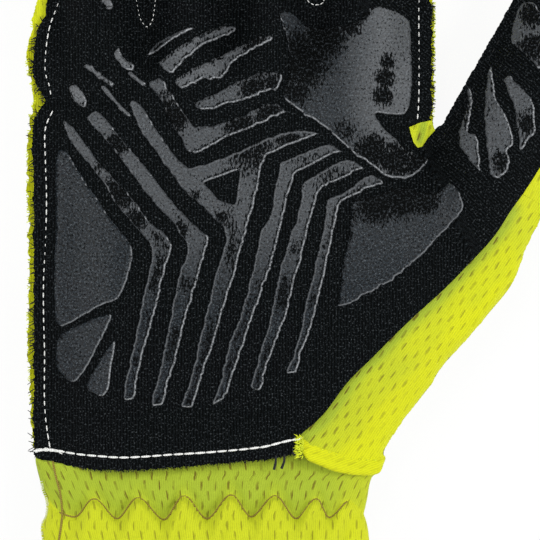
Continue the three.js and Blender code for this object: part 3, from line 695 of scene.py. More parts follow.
@dataclass(frozen=True)
class SiliconePrint:
    """Dark grey silicone, screen printed on the knit and cured.

    The eye gets a glossy pebbled film with small pits, where the print broke over the ribs, and a smooth
    rounded bead at its edge with a painted highlight on its lit side. Pits are drawn at 0.5 to 1 mm, and
    crowd where the print is thin and where painted shade lies.
    """

    name: str = "screen_printed_silicone"
    pit_scale: float = 1.25
    film: str = "#1A232A"
    lean_film: str = "#050709"
    # Colour of the painted highlight along the lit edge bead.
    bead: str = "#A9ACAF"
    crumb: str = "#687076"
    bare: str = "#020303"
    fleck: str = "#34393D"

    def make(self) -> Finish:
        """Returns the print: glossy film, and bare knit where a noise falls below a level that the thin share
        raises; that share holds thin print and painted shade.

        The bead attribute is a painted highlight: it pales the film along the lit side of the rounded edge,
        and paints reflection on the film towards the fingers.
        """
        material, node = new_material(self.name)
        cloth = node("UVMap", {"uv_map": "cloth_mm"})
        # Thin share: thin print, and painted shade on the side turned from the lamps and beside the lit bead.
        thin = node("Attribute", {"attribute_name": "thin"})
        # Painted highlight and reflection share.
        bead = node("Attribute", {"attribute_name": "bead"})
        long_way = node("VectorMath.MULTIPLY", {0: cloth, 1: (1.6, 0.6, 0.0)})
        worm = node("TexNoise", {"Scale": self.pit_scale, "Detail": 3.0, "Roughness": 0.6,
                                 "Vector": long_way})
        level = node("Math.MULTIPLY_ADD", {0: thin.outputs["Fac"], 1: -0.36, 2: worm})
        film = node("MapRange", {"From Min": 0.28, "From Max": 0.33, "Value": level})
        fine = node("TexNoise", {"Scale": 1.8, "Detail": 1.0, "Vector": cloth})
        sound = node("MapRange", {"From Min": 0.3, "From Max": 0.36, "Value": fine})
        whole = node("Math.MULTIPLY", {0: film, 1: sound})
        grit = node("TexNoise", {"Scale": 1.7, "Detail": 3.0, "Roughness": 0.75, "Vector": cloth})
        tone = node("MapRange", {"From Min": 0.42, "From Max": 0.64, "Value": grit})
        skin = node("Mix.RGBA", {0: tone, 6: linear(self.lean_film), 7: linear(self.film)})
        crumb = node("Math.COMPARE", {0: grit, 1: 0.5, 2: 0.017})
        strewn = node("MapRange", {"From Min": 0.5, "From Max": 0.62, "To Max": 0.8, "Value": fine})
        crumbs = node("Math.MULTIPLY", {0: crumb, 1: strewn})
        dusted = node("Mix.RGBA", {0: crumbs, 6: skin, 7: linear(self.crumb)})
        hidden = node("MapRange", {"From Min": 0.58, "From Max": 0.4, "To Max": 0.9, "Value": fine})
        lost = node("Math.MULTIPLY", {0: bead.outputs["Fac"], 1: hidden})
        kept = node("Math.SUBTRACT", {0: 1.0, 1: lost})
        caught = node("Math.MULTIPLY", {"use_clamp": True, 0: bead.outputs["Fac"], 1: kept})
        colour = node("Mix.RGBA", {0: caught, 6: dusted, 7: linear(self.bead)})
        relief = node("Math.MULTIPLY_ADD", {0: grit, 1: 0.6, 2: whole})
        bump = node("Bump", {"Strength": 0.5, "Distance": 0.18 * MM, "Height": relief})
        gloss = node("BsdfPrincipled", {"Roughness": 0.5, "IOR": 1.43, "Specular IOR Level": 0.22,
                                        "Base Color": colour, "Normal": bump})
        lint = node("MapRange", {"From Min": 0.54, "From Max": 0.66, "Value": grit})
        knit = node("Mix.RGBA", {0: lint, 6: linear(self.bare), 7: linear(self.fleck)})
        matt = node("BsdfPrincipled", {"Roughness": 0.85, "Specular IOR Level": 0.07, "Base Color": knit,
                                       "Normal": bump})
        both = node("MixShader", {0: whole, 1: matt, 2: gloss})
        node("OutputMaterial", {"Surface": both})
        return Finish(material, Slot.PRINT, sharp=80)


@dataclass(frozen=True)
class Thread:
    """Spun polyester sewing thread.

    The eye gets a soft twisted strand; the twist shows as fine slanted bands, drawn a little coarse.
    """

    name: str
    colour: str
    shade: str
    slot: Slot = Slot.MESH
    twist_pitch: float = 0.5

    def make(self) -> Finish:
        """Returns the thread: a sine that climbs round the strand as it runs along it."""
        material, node = new_material(self.name)
        cloth = node("UVMap", {"uv_map": "cloth_mm"})
        parts = node("SeparateXYZ", {"Vector": cloth})
        along = node("Math.MULTIPLY_ADD", {0: parts.outputs["Y"], 1: 1 / self.twist_pitch,
                                           2: parts.outputs["X"]})
        turns = node("Math.MULTIPLY", {0: along, 1: 2 * math.pi})
        wave = node("Math.SINE", {0: turns})
        ply = node("MapRange", {"From Min": -1.0, "Value": wave})
        colour = node("Mix.RGBA", {0: ply, 6: linear(self.shade), 7: linear(self.colour)})
        bump = node("Bump", {"Strength": 0.5, "Distance": 0.08 * MM, "Height": ply})
        finish_surface(node, {"Roughness": 0.65, "Specular IOR Level": 0.3, "Sheen Weight": 0.1,
                              "Base Color": colour, "Normal": bump})
        return Finish(material, self.slot)


@dataclass(frozen=True)
class WovenElastic:
    """Woven elastic band: rubber cords covered in off-white polyester. The eye gets lengthwise ridges."""

    name: str = "woven_elastic"
    ridge_pitch: float = 1.2
    light: str = "#D8D9D2"
    dark: str = "#8E908A"

    def make(self) -> Finish:
        """Returns the band: a cosine across its width and a fine crossing weave."""
        material, node = new_material(self.name)
        cloth = node("UVMap", {"uv_map": "cloth_mm"})
        parts = node("SeparateXYZ", {"Vector": cloth})
        turns = node("Math.MULTIPLY", {0: parts.outputs["Y"], 1: 2 * math.pi / self.ridge_pitch})
        wave = node("Math.COSINE", {0: turns})
        ridge = node("MapRange", {"From Min": -1.0, "Value": wave})
        colour = node("Mix.RGBA", {0: ridge, 6: linear(self.dark), 7: linear(self.light)})
        bump = node("Bump", {"Strength": 0.6, "Distance": 0.3 * MM, "Height": ridge})
        finish_surface(node, {"Roughness": 0.8, "Specular IOR Level": 0.2, "Base Color": colour,
                              "Normal": bump})
        return Finish(material, Slot.ELASTIC)


@dataclass
class Finishes:
    """Every finish of the glove, made once."""

    knit: Finish = field(default_factory=RibKnit().make)
    mesh: Finish = field(default_factory=EyeletMesh().make)
    silicone: Finish = field(default_factory=SiliconePrint().make)
    white_thread: Finish = field(default_factory=Thread("white_polyester_thread", "#F6F6F2", "#C9CBC8").make)
    black_thread: Finish = field(
        default_factory=Thread("black_polyester_thread", "#14171A", "#08090B", Slot.KNIT).make)
    yellow_thread: Finish = field(
        default_factory=Thread("yellow_polyester_thread", "#E0EA2C", "#C2CE1E").make)
    # Brown of the zigzag and side seam threads: thread colour with painted shade of their creases.
    shaded_seam_thread: Finish = field(default_factory=Thread("shaded_overlock_thread", "#94862A", "#6E5A1C").make)
    elastic: Finish = field(default_factory=WovenElastic().make)


@dataclass(frozen=True)
class Digit:
    """A finger or the thumb, in a frame of its own: r across and s along, from its base crease."""

    name: str
    x: float
    y: float
    lean_degrees: float
    width: float
    tip_width: float
    base_length: float
    tip_length: float
    crown: float
    strip: float = 0.0
    tip_round_share: float = 0.55
    blend_reach: float = 4.5
    settle: float = 10.0
    tip_run_share: float = 1.4

    @property
    def length(self) -> float:
        """Returns the whole length from the base crease."""
        return self.base_length + self.tip_length

    @property
    def tip_round(self) -> float:
        """Returns the length over which the tip rounds off."""
        return self.tip_width * self.tip_round_share

    def local(self, x: Array, y: Array) -> tuple[Array, Array]:
        """Returns r and s of places given in x and y."""
        c, k = math.cos(math.radians(self.lean_degrees)), math.sin(math.radians(self.lean_degrees))
        dx, dy = x - self.x, y - self.y
        return dx * c - dy * k, dx * k + dy * c

    def world(self, r: Array, s: Array) -> Array:
        """Returns rows of x and y of places given in r and s."""
        c, k = math.cos(math.radians(self.lean_degrees)), math.sin(math.radians(self.lean_degrees))
        r, s = np.broadcast_arrays(np.asarray(r, float), np.asarray(s, float))
        return np.stack([self.x + r * c + s * k, self.y - r * k + s * c], axis=-1)

    def taper(self, s: Array) -> Array:
        """Returns half the width between the stitch lines before the tip rounds off, a straight taper."""
        return mix(self.width, self.tip_width, limit(s / self.length)) / 2

    def half(self, s: Array) -> Array:
        """Returns half the width between the stitch lines: the taper, closed in by a quarter ellipse."""
        past = limit((s - self.length + self.tip_round) / self.tip_round)
        return self.taper(s) * np.sqrt(1 - past**2)

    def swell(self, r: Array, s: Array) -> Array:
        """Returns how far a layer stands off the seam line: a parabola across, rounded off at the tip."""
        run = self.tip_round * self.tip_run_share
        past = limit((s - self.length + run) / run)
        rise = self.crown * np.sqrt(1 - past**2)
        return rise * np.maximum(1 - (r / np.maximum(self.half(s), 0.01)) ** 2, 0)

    def arc(self, turn: Array, extra: Array) -> Array:
        """Returns an ellipse round the tip, the extra outside the seam: left at turn 0 and right at pi."""
        start = self.length - self.tip_round
        r = -np.cos(turn) * (self.taper(start) + extra)
        return self.world(r, start + np.sin(turn) * (self.tip_round + extra))

    def side(self, sign: int, span: tuple[float, float], root: float, allowance: float) -> Array:
        """Outer edge along one side.

        Args:
            sign: -1 for the left side and 1 for the right.
            span: First and last place along.
            root: Allowance outside the seam at the root.
            allowance: Allowance where it has settled.

        Returns:
            Rows of x and y from start to end.
        """
        s = np.linspace(*span, 12)
        extra = mix(root, allowance, ease((s + self.blend_reach) / self.settle))
        return self.world(sign * (self.taper(s) + extra), s)


@dataclass(frozen=True)
class HandForm:
    """Form of the stuffed glove: the heights of its front and back cloth over the flat."""

    palm_width: float = 105.0
    palm_length: float = 114.2
    seam_height: float = 12.0
    heel_rise: float = 14.0
    knuckle_rise: float = 9.0
    hem_rise: float = 9.5
    palm_run: float = 26.0
    edge_run: float = 13.0
    back_run: float = 20.0
    hollow_depth: float = 2.5
    hollow_radius: float = 26.0
    thenar_rise: float = 13.0
    thenar_length: float = 62.0
    thenar_flare: float = 8.0
    ridge_blend: float = 5.0
    cloth: float = 0.9
    ply_gap: float = 0.05
    back_depth: float = 10.8
    origin_share: tuple[float, float] = (0.505, 0.368)
    outer_seam_share: float = 0.042
    hollow_share: tuple[float, float] = (0.72, 0.5)
    heel_shares: tuple[float, float] = (0.0, 0.2)
    knuckle_shares: tuple[float, float] = (0.35, 0.95)
    root_shares: tuple[float, float] = (0.87, 0.985)
    back_slack: float = 0.35
    wrist_shares: Points = ((0.892, 0.007), (0.958, 0.113), (1.035, 0.211), (1.1, 0.278))
    ball_shares: Points = ((1.155, 0.338), (1.228, 0.437), (1.272, 0.547))
    palm_shares: Points = ((1.13, 0.42), (1.04, 0.66), (0.978, 0.78))

    @property
    def digits(self) -> dict[str, Digit]:
        """Returns the four fingers and the thumb by name."""
        rows = [
            Digit("little", *self.place(0.169, 1.07), -3.0, 20.0, 15.0, 20.0, 32.0, 8.0),
            Digit("ring", *self.place(0.402, 1.156), -1.5, 17.0, 15.6, 26.0, 40.0, 8.0),
            Digit("middle", *self.place(0.614, 1.156), 1.0, 17.0, 15.8, 28.0, 43.0, 8.0),
            Digit("index", *self.place(0.858, 1.121), 2.0, 23.6, 17.0, 25.0, 38.0, 8.0),
            Digit("thumb", *self.place(1.1745, 0.684), 27.0, 30.8, 25.0, 24.0, 36.0, 9.0, strip=5.6),
        ]
        return {row.name: row for row in rows}

    def across(self, share: float) -> float:
        """Returns x of a share of the palm's width."""
        return (share - self.origin_share[0]) * self.palm_width

    def along(self, share: float) -> float:
        """Returns y of a share of the palm's length."""
        return (share - self.origin_share[1]) * self.palm_length

    def place(self, across_share: float, along_share: float) -> tuple[float, float]:
        """Returns x and y of two shares."""
        return self.across(across_share), self.along(along_share)

    def silhouette(self, y: Array) -> Array:
        """Returns x of the thumb side's silhouette at y."""
        thumb = self.digits["thumb"]
        beyond = thumb.world([thumb.width / 2] * 2, [0.0, thumb.base_length])
        points = np.vstack([[self.place(*s) for s in (*self.wrist_shares, *self.ball_shares)], beyond])
        return np.interp(y, points[:, 1], points[:, 0])

    def palm_side(self, y: Array) -> Array:
        """Returns x of the line where the palm's own dome ends before the ball of the thumb."""
        points = np.array([self.place(*s) for s in (*self.wrist_shares, *self.palm_shares)])
        return np.interp(y, points[:, 1], points[:, 0])

    def from_left(self, x: Array) -> Array:
        """Returns the distance from the seam along the outer side of the hand."""
        return x - self.across(self.outer_seam_share)

    def past(self, y: Array, shares: tuple[float, float]) -> Array:
        """Returns how far y has passed from the first share of the palm's length to the second, eased."""
        start, end = self.along(shares[0]), self.along(shares[1])
        return ease((y - start) / (end - start))

    def palm_rise(self, y: Array) -> Array:
        """Returns the palm's crown: the hem's, then the heel's, then the knuckles', eased together."""
        heel, knuckle = self.past(y, self.heel_shares), self.past(y, self.knuckle_shares)
        return mix(mix(self.hem_rise, self.heel_rise, heel), self.knuckle_rise, knuckle)

    def thenar(self, x: Array, y: Array, rise: float) -> Array:
        """Returns the ball of the thumb: a parabolic ridge that fades towards the wrist."""
        r, s = self.digits["thumb"].local(x, y)
        flare = self.digits["thumb"].width / 2 + self.thenar_flare * limit(-s / self.thenar_length)
        return rise * np.maximum(1 - (r / flare) ** 2, 0) * ease(1 + s / self.thenar_length)

    def blend_digits(self, x: Array, y: Array, palm: Array) -> Array:
        """Returns the hand's swell, which takes the section of each digit near its base crease."""
        fingers = [d for d in self.digits.values() if d.strip == 0]
        spans = np.array([np.abs(d.local(x, y)[0]) for d in fingers])
        swells = np.array([d.swell(d.local(x, y)[0], np.minimum(d.local(x, y)[1], 0)) for d in fingers])
        nearest = np.take_along_axis(swells, spans.argmin(axis=0)[None], axis=0)[0]
        hand = mix(palm, nearest, self.past(y, self.root_shares))
        thumb = self.digits["thumb"]
        r, s = thumb.local(x, y)
        near = ease(1 + s / (thumb.base_length * 0.8)) * ease((r + thumb.width / 2 + 8) / 8)
        return mix(hand, thumb.swell(r, np.minimum(s, 0)), near)

    def front_swell(self, x: Array, y: Array) -> Array:
        """Returns how far the front cloth of the hand stands off the seam line."""
        left, right = self.from_left(x), self.palm_side(y) - x
        centre = self.place(*self.hollow_share)
        away = (x - centre[0]) ** 2 + (y - centre[1]) ** 2
        rise = self.palm_rise(y) * dome(left, self.palm_run) * dome(right, self.palm_run)
        hollow = self.hollow_depth * np.exp(-away / self.hollow_radius**2)
        base = rise - hollow * limit(rise / self.knuckle_rise)
        hand = soft_max(base, self.thenar(x, y, self.thenar_rise), self.ridge_blend)
        edge = self.heel_rise * dome(self.silhouette(y) - x, self.edge_run)
        return self.blend_digits(x, y, np.minimum(hand, edge))

    def back_swell(self, x: Array, y: Array) -> Array:
        """Returns how far the back cloth of the hand stands off the seam line."""
        full = self.back_depth
        base = full * dome(np.minimum(self.from_left(x), self.palm_side(y) - x), self.back_run)
        hand = np.minimum(soft_max(base, self.thenar(x, y, full), self.ridge_blend), full)
        return self.blend_digits(x, y, np.minimum(hand, full * dome(self.silhouette(y) - x, self.edge_run)))

    def swell_on(self, digit: Digit | None, swell: Height) -> Height:
        """Returns the hand's swell, continued over a digit past its base crease."""
        if digit is None:
            return swell

        def over(x: Array, y: Array) -> Array:
            """Returns the swell of the hand before the crease and of the digit after it."""
            r, s = digit.local(x, y)
            return np.where(s > 0, digit.swell(r, s), swell(x, y))
        return over

    def front_top(self, digit: Digit | None = None) -> Height:
        """Returns the height of the front cloth's outer face as a function of x and y."""
        swell, level = self.swell_on(digit, self.front_swell), self.seam_height + self.ply_gap + self.cloth
        return lambda x, y: level + swell(x, y) + self.relief(x, y)

    def back_outer(self, digit: Digit | None = None) -> Height:
        """Returns the height of the back cloth's outer face as a function of x and y."""
        swell, level = self.swell_on(digit, self.back_swell), self.seam_height - self.ply_gap - self.cloth
        return lambda x, y: level - swell(x, y) + self.back_relief(x, y)

    def relief(self, x: Array, y: Array) -> Array:
        """Returns the front's folds at the little finger's root and over the thumb, with soft waves."""
        at = np.stack([np.ravel(x), np.ravel(y)], axis=1)
        low = sum(-depth * np.exp(-(distance_to(at, PHOTO.curve(path, 1)) / width) ** 2)
                  for path, depth, width in FRONT_FOLDS)
        waves = 0.22 * value_noise(*at.T, 9, 3) + 0.1 * value_noise(*at.T, 4, 4)
        return (low + waves * limit(self.from_left(at[:, 0]) / 6)).reshape(np.shape(x))

    def back_relief(self, x: Array, y: Array) -> Array:
        """Returns soft wrinkles of the back cloth, all drawn in from its full depth."""
        across, soft = value_noise(x * 0.4, y, 7, 11), value_noise(x, y, 13, 12)
        return self.back_slack * (1 + 0.6 * across + 0.4 * soft) * limit(self.back_swell(x, y) / 6)


@dataclass(frozen=True)
class Weave:
    """Cloth coordinates in mm, which the knit and the mesh follow, and the fold where the ribs turn."""

    thumb_lean: float = 42.0
    fold_distance: float = 114.7
    fold_radius: float = 3.0
    turn_length: float = 4.0

    def ribs(self, at: Array) -> Array:
        """Ribs run along the palm, and past the thumb's fold they run across the thumb.

        The coordinate across the ribs is the smaller of two planes, x and a line's drop below the fold, so
        that every rib turns at the fold without a break.

        Args:
            at: Rows of x and y.

        Returns:
            Rows of the coordinate across the ribs and the one along them.
        """
        x, y = at.T
        c, k = math.cos(math.radians(self.thumb_lean)), math.sin(math.radians(self.thumb_lean))
        beyond = self.fold_distance - x * k - y * c
        across = -soft_max(-x, -beyond, self.fold_radius)
        return np.stack([across, mix(y, y * k - x * c, ease((x - beyond) / self.turn_length))], axis=1)

    def turned(self, at: Array, degrees: float = 0.0) -> Array:
        """Returns rows of x and y turned so that the slits run along the given lean."""
        c, k = math.cos(math.radians(degrees)), math.sin(math.radians(degrees))
        return np.stack([at[:, 0] * c - at[:, 1] * k, at[:, 0] * k + at[:, 1] * c], axis=1)


@dataclass(frozen=True)
class Stitch:
    """One kind of lockstitch: visible length, pitch, thread radius, lift over the cloth, uneven tension."""

    length: float = 1.5
    pitch: float = 2.2
    radius: float = 0.15
    lift: float = 0.1
    uneven: float = 0.5


@dataclass
class Sewing:
    """Makes cloth pieces, stitches and torn yarns over the form."""

    form: HandForm
    weave: Weave
    finishes: Finishes
    edge_step: float = 0.4

    def knit_shell(self, outline: Array, digit: Digit | None = None) -> Shell:
        """Returns a piece of the front's black knit, from the form down to one cloth below it."""
        flat, faces, _ = cut_pattern(outline, 1.0)
        top = self.form.front_top(digit)(*flat.T)
        return shell_between(flat, faces, top, top - self.form.cloth, self.weave.ribs(flat))

    def stitch_row(self, path: Array, top: Height, stitch: Stitch = Stitch()) -> Shell:
        """Row of lockstitches: one short thread for each, humped in the middle and sunk at both ends.

        Args:
            path: Rows of x and y along the seam.
            top: Height of the cloth that it is sewn on.
            stitch: Its sizes.

        Returns:
            All the stitches of the row in one shell.
        """
        centres = resample(path, stitch.pitch)
        share = np.linspace(-1, 1, 5)
        threads = []
        for centre, way in zip(centres, tangents(centres)):
            pull = float(np.clip(1 + stitch.uneven * (value_noise(*centre, 8.0, 78) - 0.3), 0.5, 1.1))
            flat = centre + share[:, None] * way * pull * stitch.length / 2
            sunk = 0.09 * value_noise(*centre, 3.0, 77) - 0.03
            height = top(*flat.T) + stitch.lift + sunk - 0.25 * share**4
            radius = stitch.radius * pull * np.sqrt(1.05 - share**2 * 0.7)
            threads.append(tube(np.column_stack([flat, height]), radius))
        return joined(threads)

    def fibres(self, path: Array, height: float, count: int, reach: float, seed: int,
               radius: float = 0.17) -> Shell:
        """Torn yarn ends along a raw edge: short slivers that lean out of it at random.

        Args:
            path: Rows of x and y along the edge, with the outside on its right.
            height: Height of the edge.
            count: Number of ends.
            reach: Longest end in mm.
            seed: Seed of the random lean.
            radius: Radius of a yarn end.

        Returns:
            All the yarn ends in one shell.
        """
        random = np.random.default_rng(seed)
        way, side = tangents(path), right_of(path)
        ends = []
        for k in random.integers(1, len(path) - 1, count):
            lean = random.uniform(-0.8, 0.8)
            tip = path[k] + (side[k] + way[k] * lean) * (reach * random.uniform(0.4, 1.0))
            rise = random.uniform(-0.3, 0.3)
            points = [[*(path[k] - side[k] * 0.4), height], [*path[k], height], [*tip, height + rise]]
            ends.append(tube(np.array(points), radius * np.array([1, 1, 0.6]), 3))
        return joined(ends)


def root_line(form: HandForm, roots: dict[str, tuple[float, float]]) -> list[Stroke]:
    """Strokes along the roots of the fingers, into each slot between them and out again.

    Args:
        form: Form of the hand.
        roots: How far the cloth stands outside each finger's seam, left and right.

    Returns:
        The strokes from the little finger to the index finger.
    """
    ends = [d.world([-(d.width / 2 + roots[d.name][0]), d.width / 2 + roots[d.name][1]], [-d.blend_reach] * 2)
            for d in form.digits.values() if d.strip == 0]
    strokes = [line(*ends[0])]
    for before, after, slot in zip(ends, ends[1:], PHOTO.place(FINGER_SLOTS)):
        strokes += [line(before[1], slot), line(slot, after[0]), line(*after)]
    return strokes


@dataclass
class Palm:
    """Front of the hand: the black knit panel, its stitches and its torn edges."""

    sewing: Sewing
    black_edge: Points = ((45, 12.6), (36, 30), (33, 57), (33, 75), (40, 92), (45, 100))
    black_edge_lower: Points = ((45, 100), (40, 108), (33, 120), (33, 200), (33, 270), (33, 360), (33, 455))
    index_edge: Points = ((432, 12), (432, 60), (432, 102), (431, 116))
    index_fray: Points = ((432, -4), (432, 50), (432, 100), (431, 116))
    hem_edge: Points = (
        (33, 455), (41, 461), (57, 464), (71, 466), (97, 469.5), (122, 470), (148, 469), (172, 467),
        (207, 464), (241, 461), (270, 458.5), (287, 455), (301, 453),
    )
    hem_end: Points = ((301, 453), (298, 446), (296, 438))
    diagonal: Points = (
        (296, 438), (322, 415), (347, 382), (373, 356), (399, 330), (425, 306), (442, 291), (463, 270),
        (494, 236), (511, 210),
    )
    seam_stitches: tuple[Points, ...] = (
        ((51, 113), (45, 127), (45, 164), (46, 198), (45, 241), (43, 280), (43, 315), (44, 354), (44, 404),
         (46.5, 430), (49, 445)),
        ((57, 4), (49, 26), (45, 52), (45, 74), (48, 82), (50, 92)),
        ((421, -16), (419.5, 0), (419.5, 52), (419, 102), (418, 116)),
    )
    crotch_stitches: tuple[Points, ...] = (
        ((136, 0), (138, 10), (139.5, 17), (143, 23), (146.5, 26), (151, 22), (153, 15), (154, 8), (155, 0)),
        ((307, -4), (308, 0), (311, 2.6), (316.5, 4), (322, 2.6), (324, 0), (325, -6)),
        ((225, -24), (227, -18), (231.5, -16), (236, -18), (238, -24)),
    )
    hem_stitches: Points = (
        (38, 451), (49, 450), (60, 451.5), (77, 454), (103, 456), (120, 457), (146, 456), (172, 454),
        (198, 452.5), (224, 450.5), (250, 448), (270, 445), (280, 442), (297, 438.5),
    )
    knot: Points = ((35, 451.5), (44, 450), (53, 450.5), (62, 452.5))
    tails: tuple[Points, ...] = (
        ((276, 455), (275.5, 462), (274, 469)), ((284.5, 454), (284, 461), (281.5, 468)),
        ((292, 452), (297, 454.5), (301.5, 454)),
    )
    turning_leans: tuple[float, ...] = (-0.04, 0.0, 0.026)
    turning_half: tuple[float, float] = (1.7, 5.0)
    knot_strands: int = 8
    hem_ends: int = 420

    def outline(self) -> Array:
        """Returns the closed edge of the palm panel, with torn yarns where it is raw."""
        thumb = self.sewing.form.digits["thumb"]
        fingers = root_line(self.sewing.form, FRONT_ROOTS)
        left, right = thumb.world([THUMB_LEFT_ROOT, THUMB_SPLIT], [-thumb.blend_reach] * 2)
        side = np.vstack([fingers[-1].points[-1], PHOTO.place(self.index_edge), CROTCH])
        upper = np.vstack([PHOTO.place(self.black_edge)[::-1][:-1], fingers[0].points[:1]])
        strokes = [
            Stroke(PHOTO.place(self.black_edge_lower)[::-1], fray=0.2, wave=0.25, wave_pitch=3),
            Stroke(upper, fray=0.2, wave=0.2),
            *fingers,
            Stroke(side, fray=0.2, wave=0.3, wave_pitch=3),
            line(CROTCH, left),
            line(left, right),
            Stroke(np.vstack([right, PHOTO.place(self.diagonal)[::-1]])),
            Stroke(PHOTO.place(self.hem_end)[::-1], fray=0.2),
            Stroke(PHOTO.place(self.hem_edge)[::-1], fray=0.22),
        ]
        return outline_of(strokes, self.sewing.edge_step, seed=21)

    def build(self) -> None:
        """Makes the panel, its stitches, the loose threads and the turnings between the fingers."""
        sewing = self.sewing
        top, white = sewing.form.front_top(), sewing.finishes.white_thread
        make_piece("palm_cloth", sewing.knit_shell(self.outline()), sewing.finishes.knit, "palm_panel")
        fine = Stitch(length=1.0, pitch=1.25, lift=0.12)
        rows = [sewing.stitch_row(PHOTO.curve(path, 1), top) for path in self.seam_stitches]
        rows += [sewing.stitch_row(PHOTO.curve(path, 0.5), top, fine) for path in self.crotch_stitches]
        make_piece("side_seam_stitches", joined(rows), white)
        heavy = Stitch(length=2.6, pitch=2.85, radius=0.31, lift=0.3, uneven=0.12)
        make_piece("hem_stitches", sewing.stitch_row(PHOTO.curve(self.hem_stitches, 1), top, heavy), white)
        self.build_knot(top)
        self.build_tails(top)
        self.build_fuzz(top)
        self.build_turnings()

    def build_knot(self, top: Height) -> None:
        """Makes the bunched thread where the hem's stitching starts: loose strands along one line."""
        flat = PHOTO.curve(self.knot, 0.3)
        along = np.arange(len(flat)) * 0.3
        shells = []
        for k in range(self.knot_strands):
            sway = value_noise(along, along * 0 + 3.7 * k, 1.4, 101 + k) * 0.5
            lift = 0.2 + 0.25 * np.abs(value_noise(along, along * 0 + 1.3 * k, 1.1, 111 + k))
            strand = flat + np.stack([along * 0, sway], axis=1)
            shells.append(tube(np.column_stack([strand, top(*strand.T) + lift]), 0.1, 5))
        make_piece("hem_thread_knot", joined(shells), self.sewing.finishes.white_thread)

    def build_tails(self, top: Height) -> None:
        """Makes the two cut thread ends under the hem and the one at its corner."""
        threads = []
        for route in self.tails:
            flat = PHOTO.curve(route, 0.4)
            fall = np.linspace(0, 1, len(flat))
            height = top(*flat[:1].T) + 0.25 - 0.9 * fall
            threads.append(tube(np.column_stack([flat, height]), mix(0.26, 0.38, fall), 8))
        make_piece("cut_thread_ends", joined(threads), self.sewing.finishes.black_thread)

    def build_fuzz(self, top: Height) -> None:
        """Makes the torn yarn ends of the panel's raw edges."""
        edges = [(self.black_edge_lower, 100, 1.7), (self.black_edge, 36, 1.6),
                 (self.index_fray[::-1], 60, 1.2)]
        level = self.sewing.form.seam_height + 0.7
        shells = [self.sewing.fibres(PHOTO.curve(edge, 0.3), level, count, reach, 31 + k)
                  for k, (edge, count, reach) in enumerate(edges)]
        hem = PHOTO.curve(self.hem_edge, 0.3)
        random = np.random.default_rng(5)
        for k in random.integers(2, len(hem) - 2, self.hem_ends):
            at = hem[k]
            level = float(top(at[:1], at[1:])[0]) - random.uniform(0.1, 0.8)
            tip = at + [random.uniform(-0.45, 0.45), -random.uniform(0.2, 0.75)]
            low = level - random.uniform(0, 0.4)
            points = np.array([[at[0], at[1] + 0.5, level], [*at, level], [*tip, low]])
            shells.append(tube(points, np.array([0.1, 0.09, 0.03]), 3))
        make_piece("torn_knit_yarns", joined(shells), self.sewing.finishes.black_thread)

    def build_turnings(self) -> None:
        """Makes the black seam turnings that lie in the slots between the fingers."""
        shells = []
        wide, long = self.turning_half
        for k, (x, y) in enumerate(PHOTO.place(FINGER_SLOTS)):
            rows = y + np.linspace(-long, long, 18)[:, None]
            columns = x + np.linspace(-wide, wide, 8)[None, :] + self.turning_leans[k] * (rows - y)
            columns, rows = np.broadcast_arrays(columns, rows)
            height = self.sewing.form.seam_height + 0.45 + 0.12 * value_noise(columns, rows, 0.7, 91 + k)
            outer, inner = (np.stack([columns, rows, height - under], axis=2) for under in (0, 0.4))
            shells.append(grid_shell(outer, inner, np.stack([columns, rows], axis=2)))
        make_piece("crotch_turnings", joined(shells), self.sewing.finishes.knit)


@dataclass(frozen=True)
class Print:
    """One printed shape: outline, windows, worn band, ragged edge, painted bead highlight, painted reflection
    towards the fingers (tone), painted glare (glow) and lit side.
    """

    outline: Points = ()
    windows: tuple[Points, ...] = ()
    band: float = 0.85
    ragged: float = 0.55
    edge_highlight: float = 0.95
    # Painted reflection: how much paler the film gets towards the fingers.
    tone: float = 0.13
    # Painted glare that grows to the right.
    glow: float = 0.0
    lit: tuple[float, float] = (0.55, -0.42)


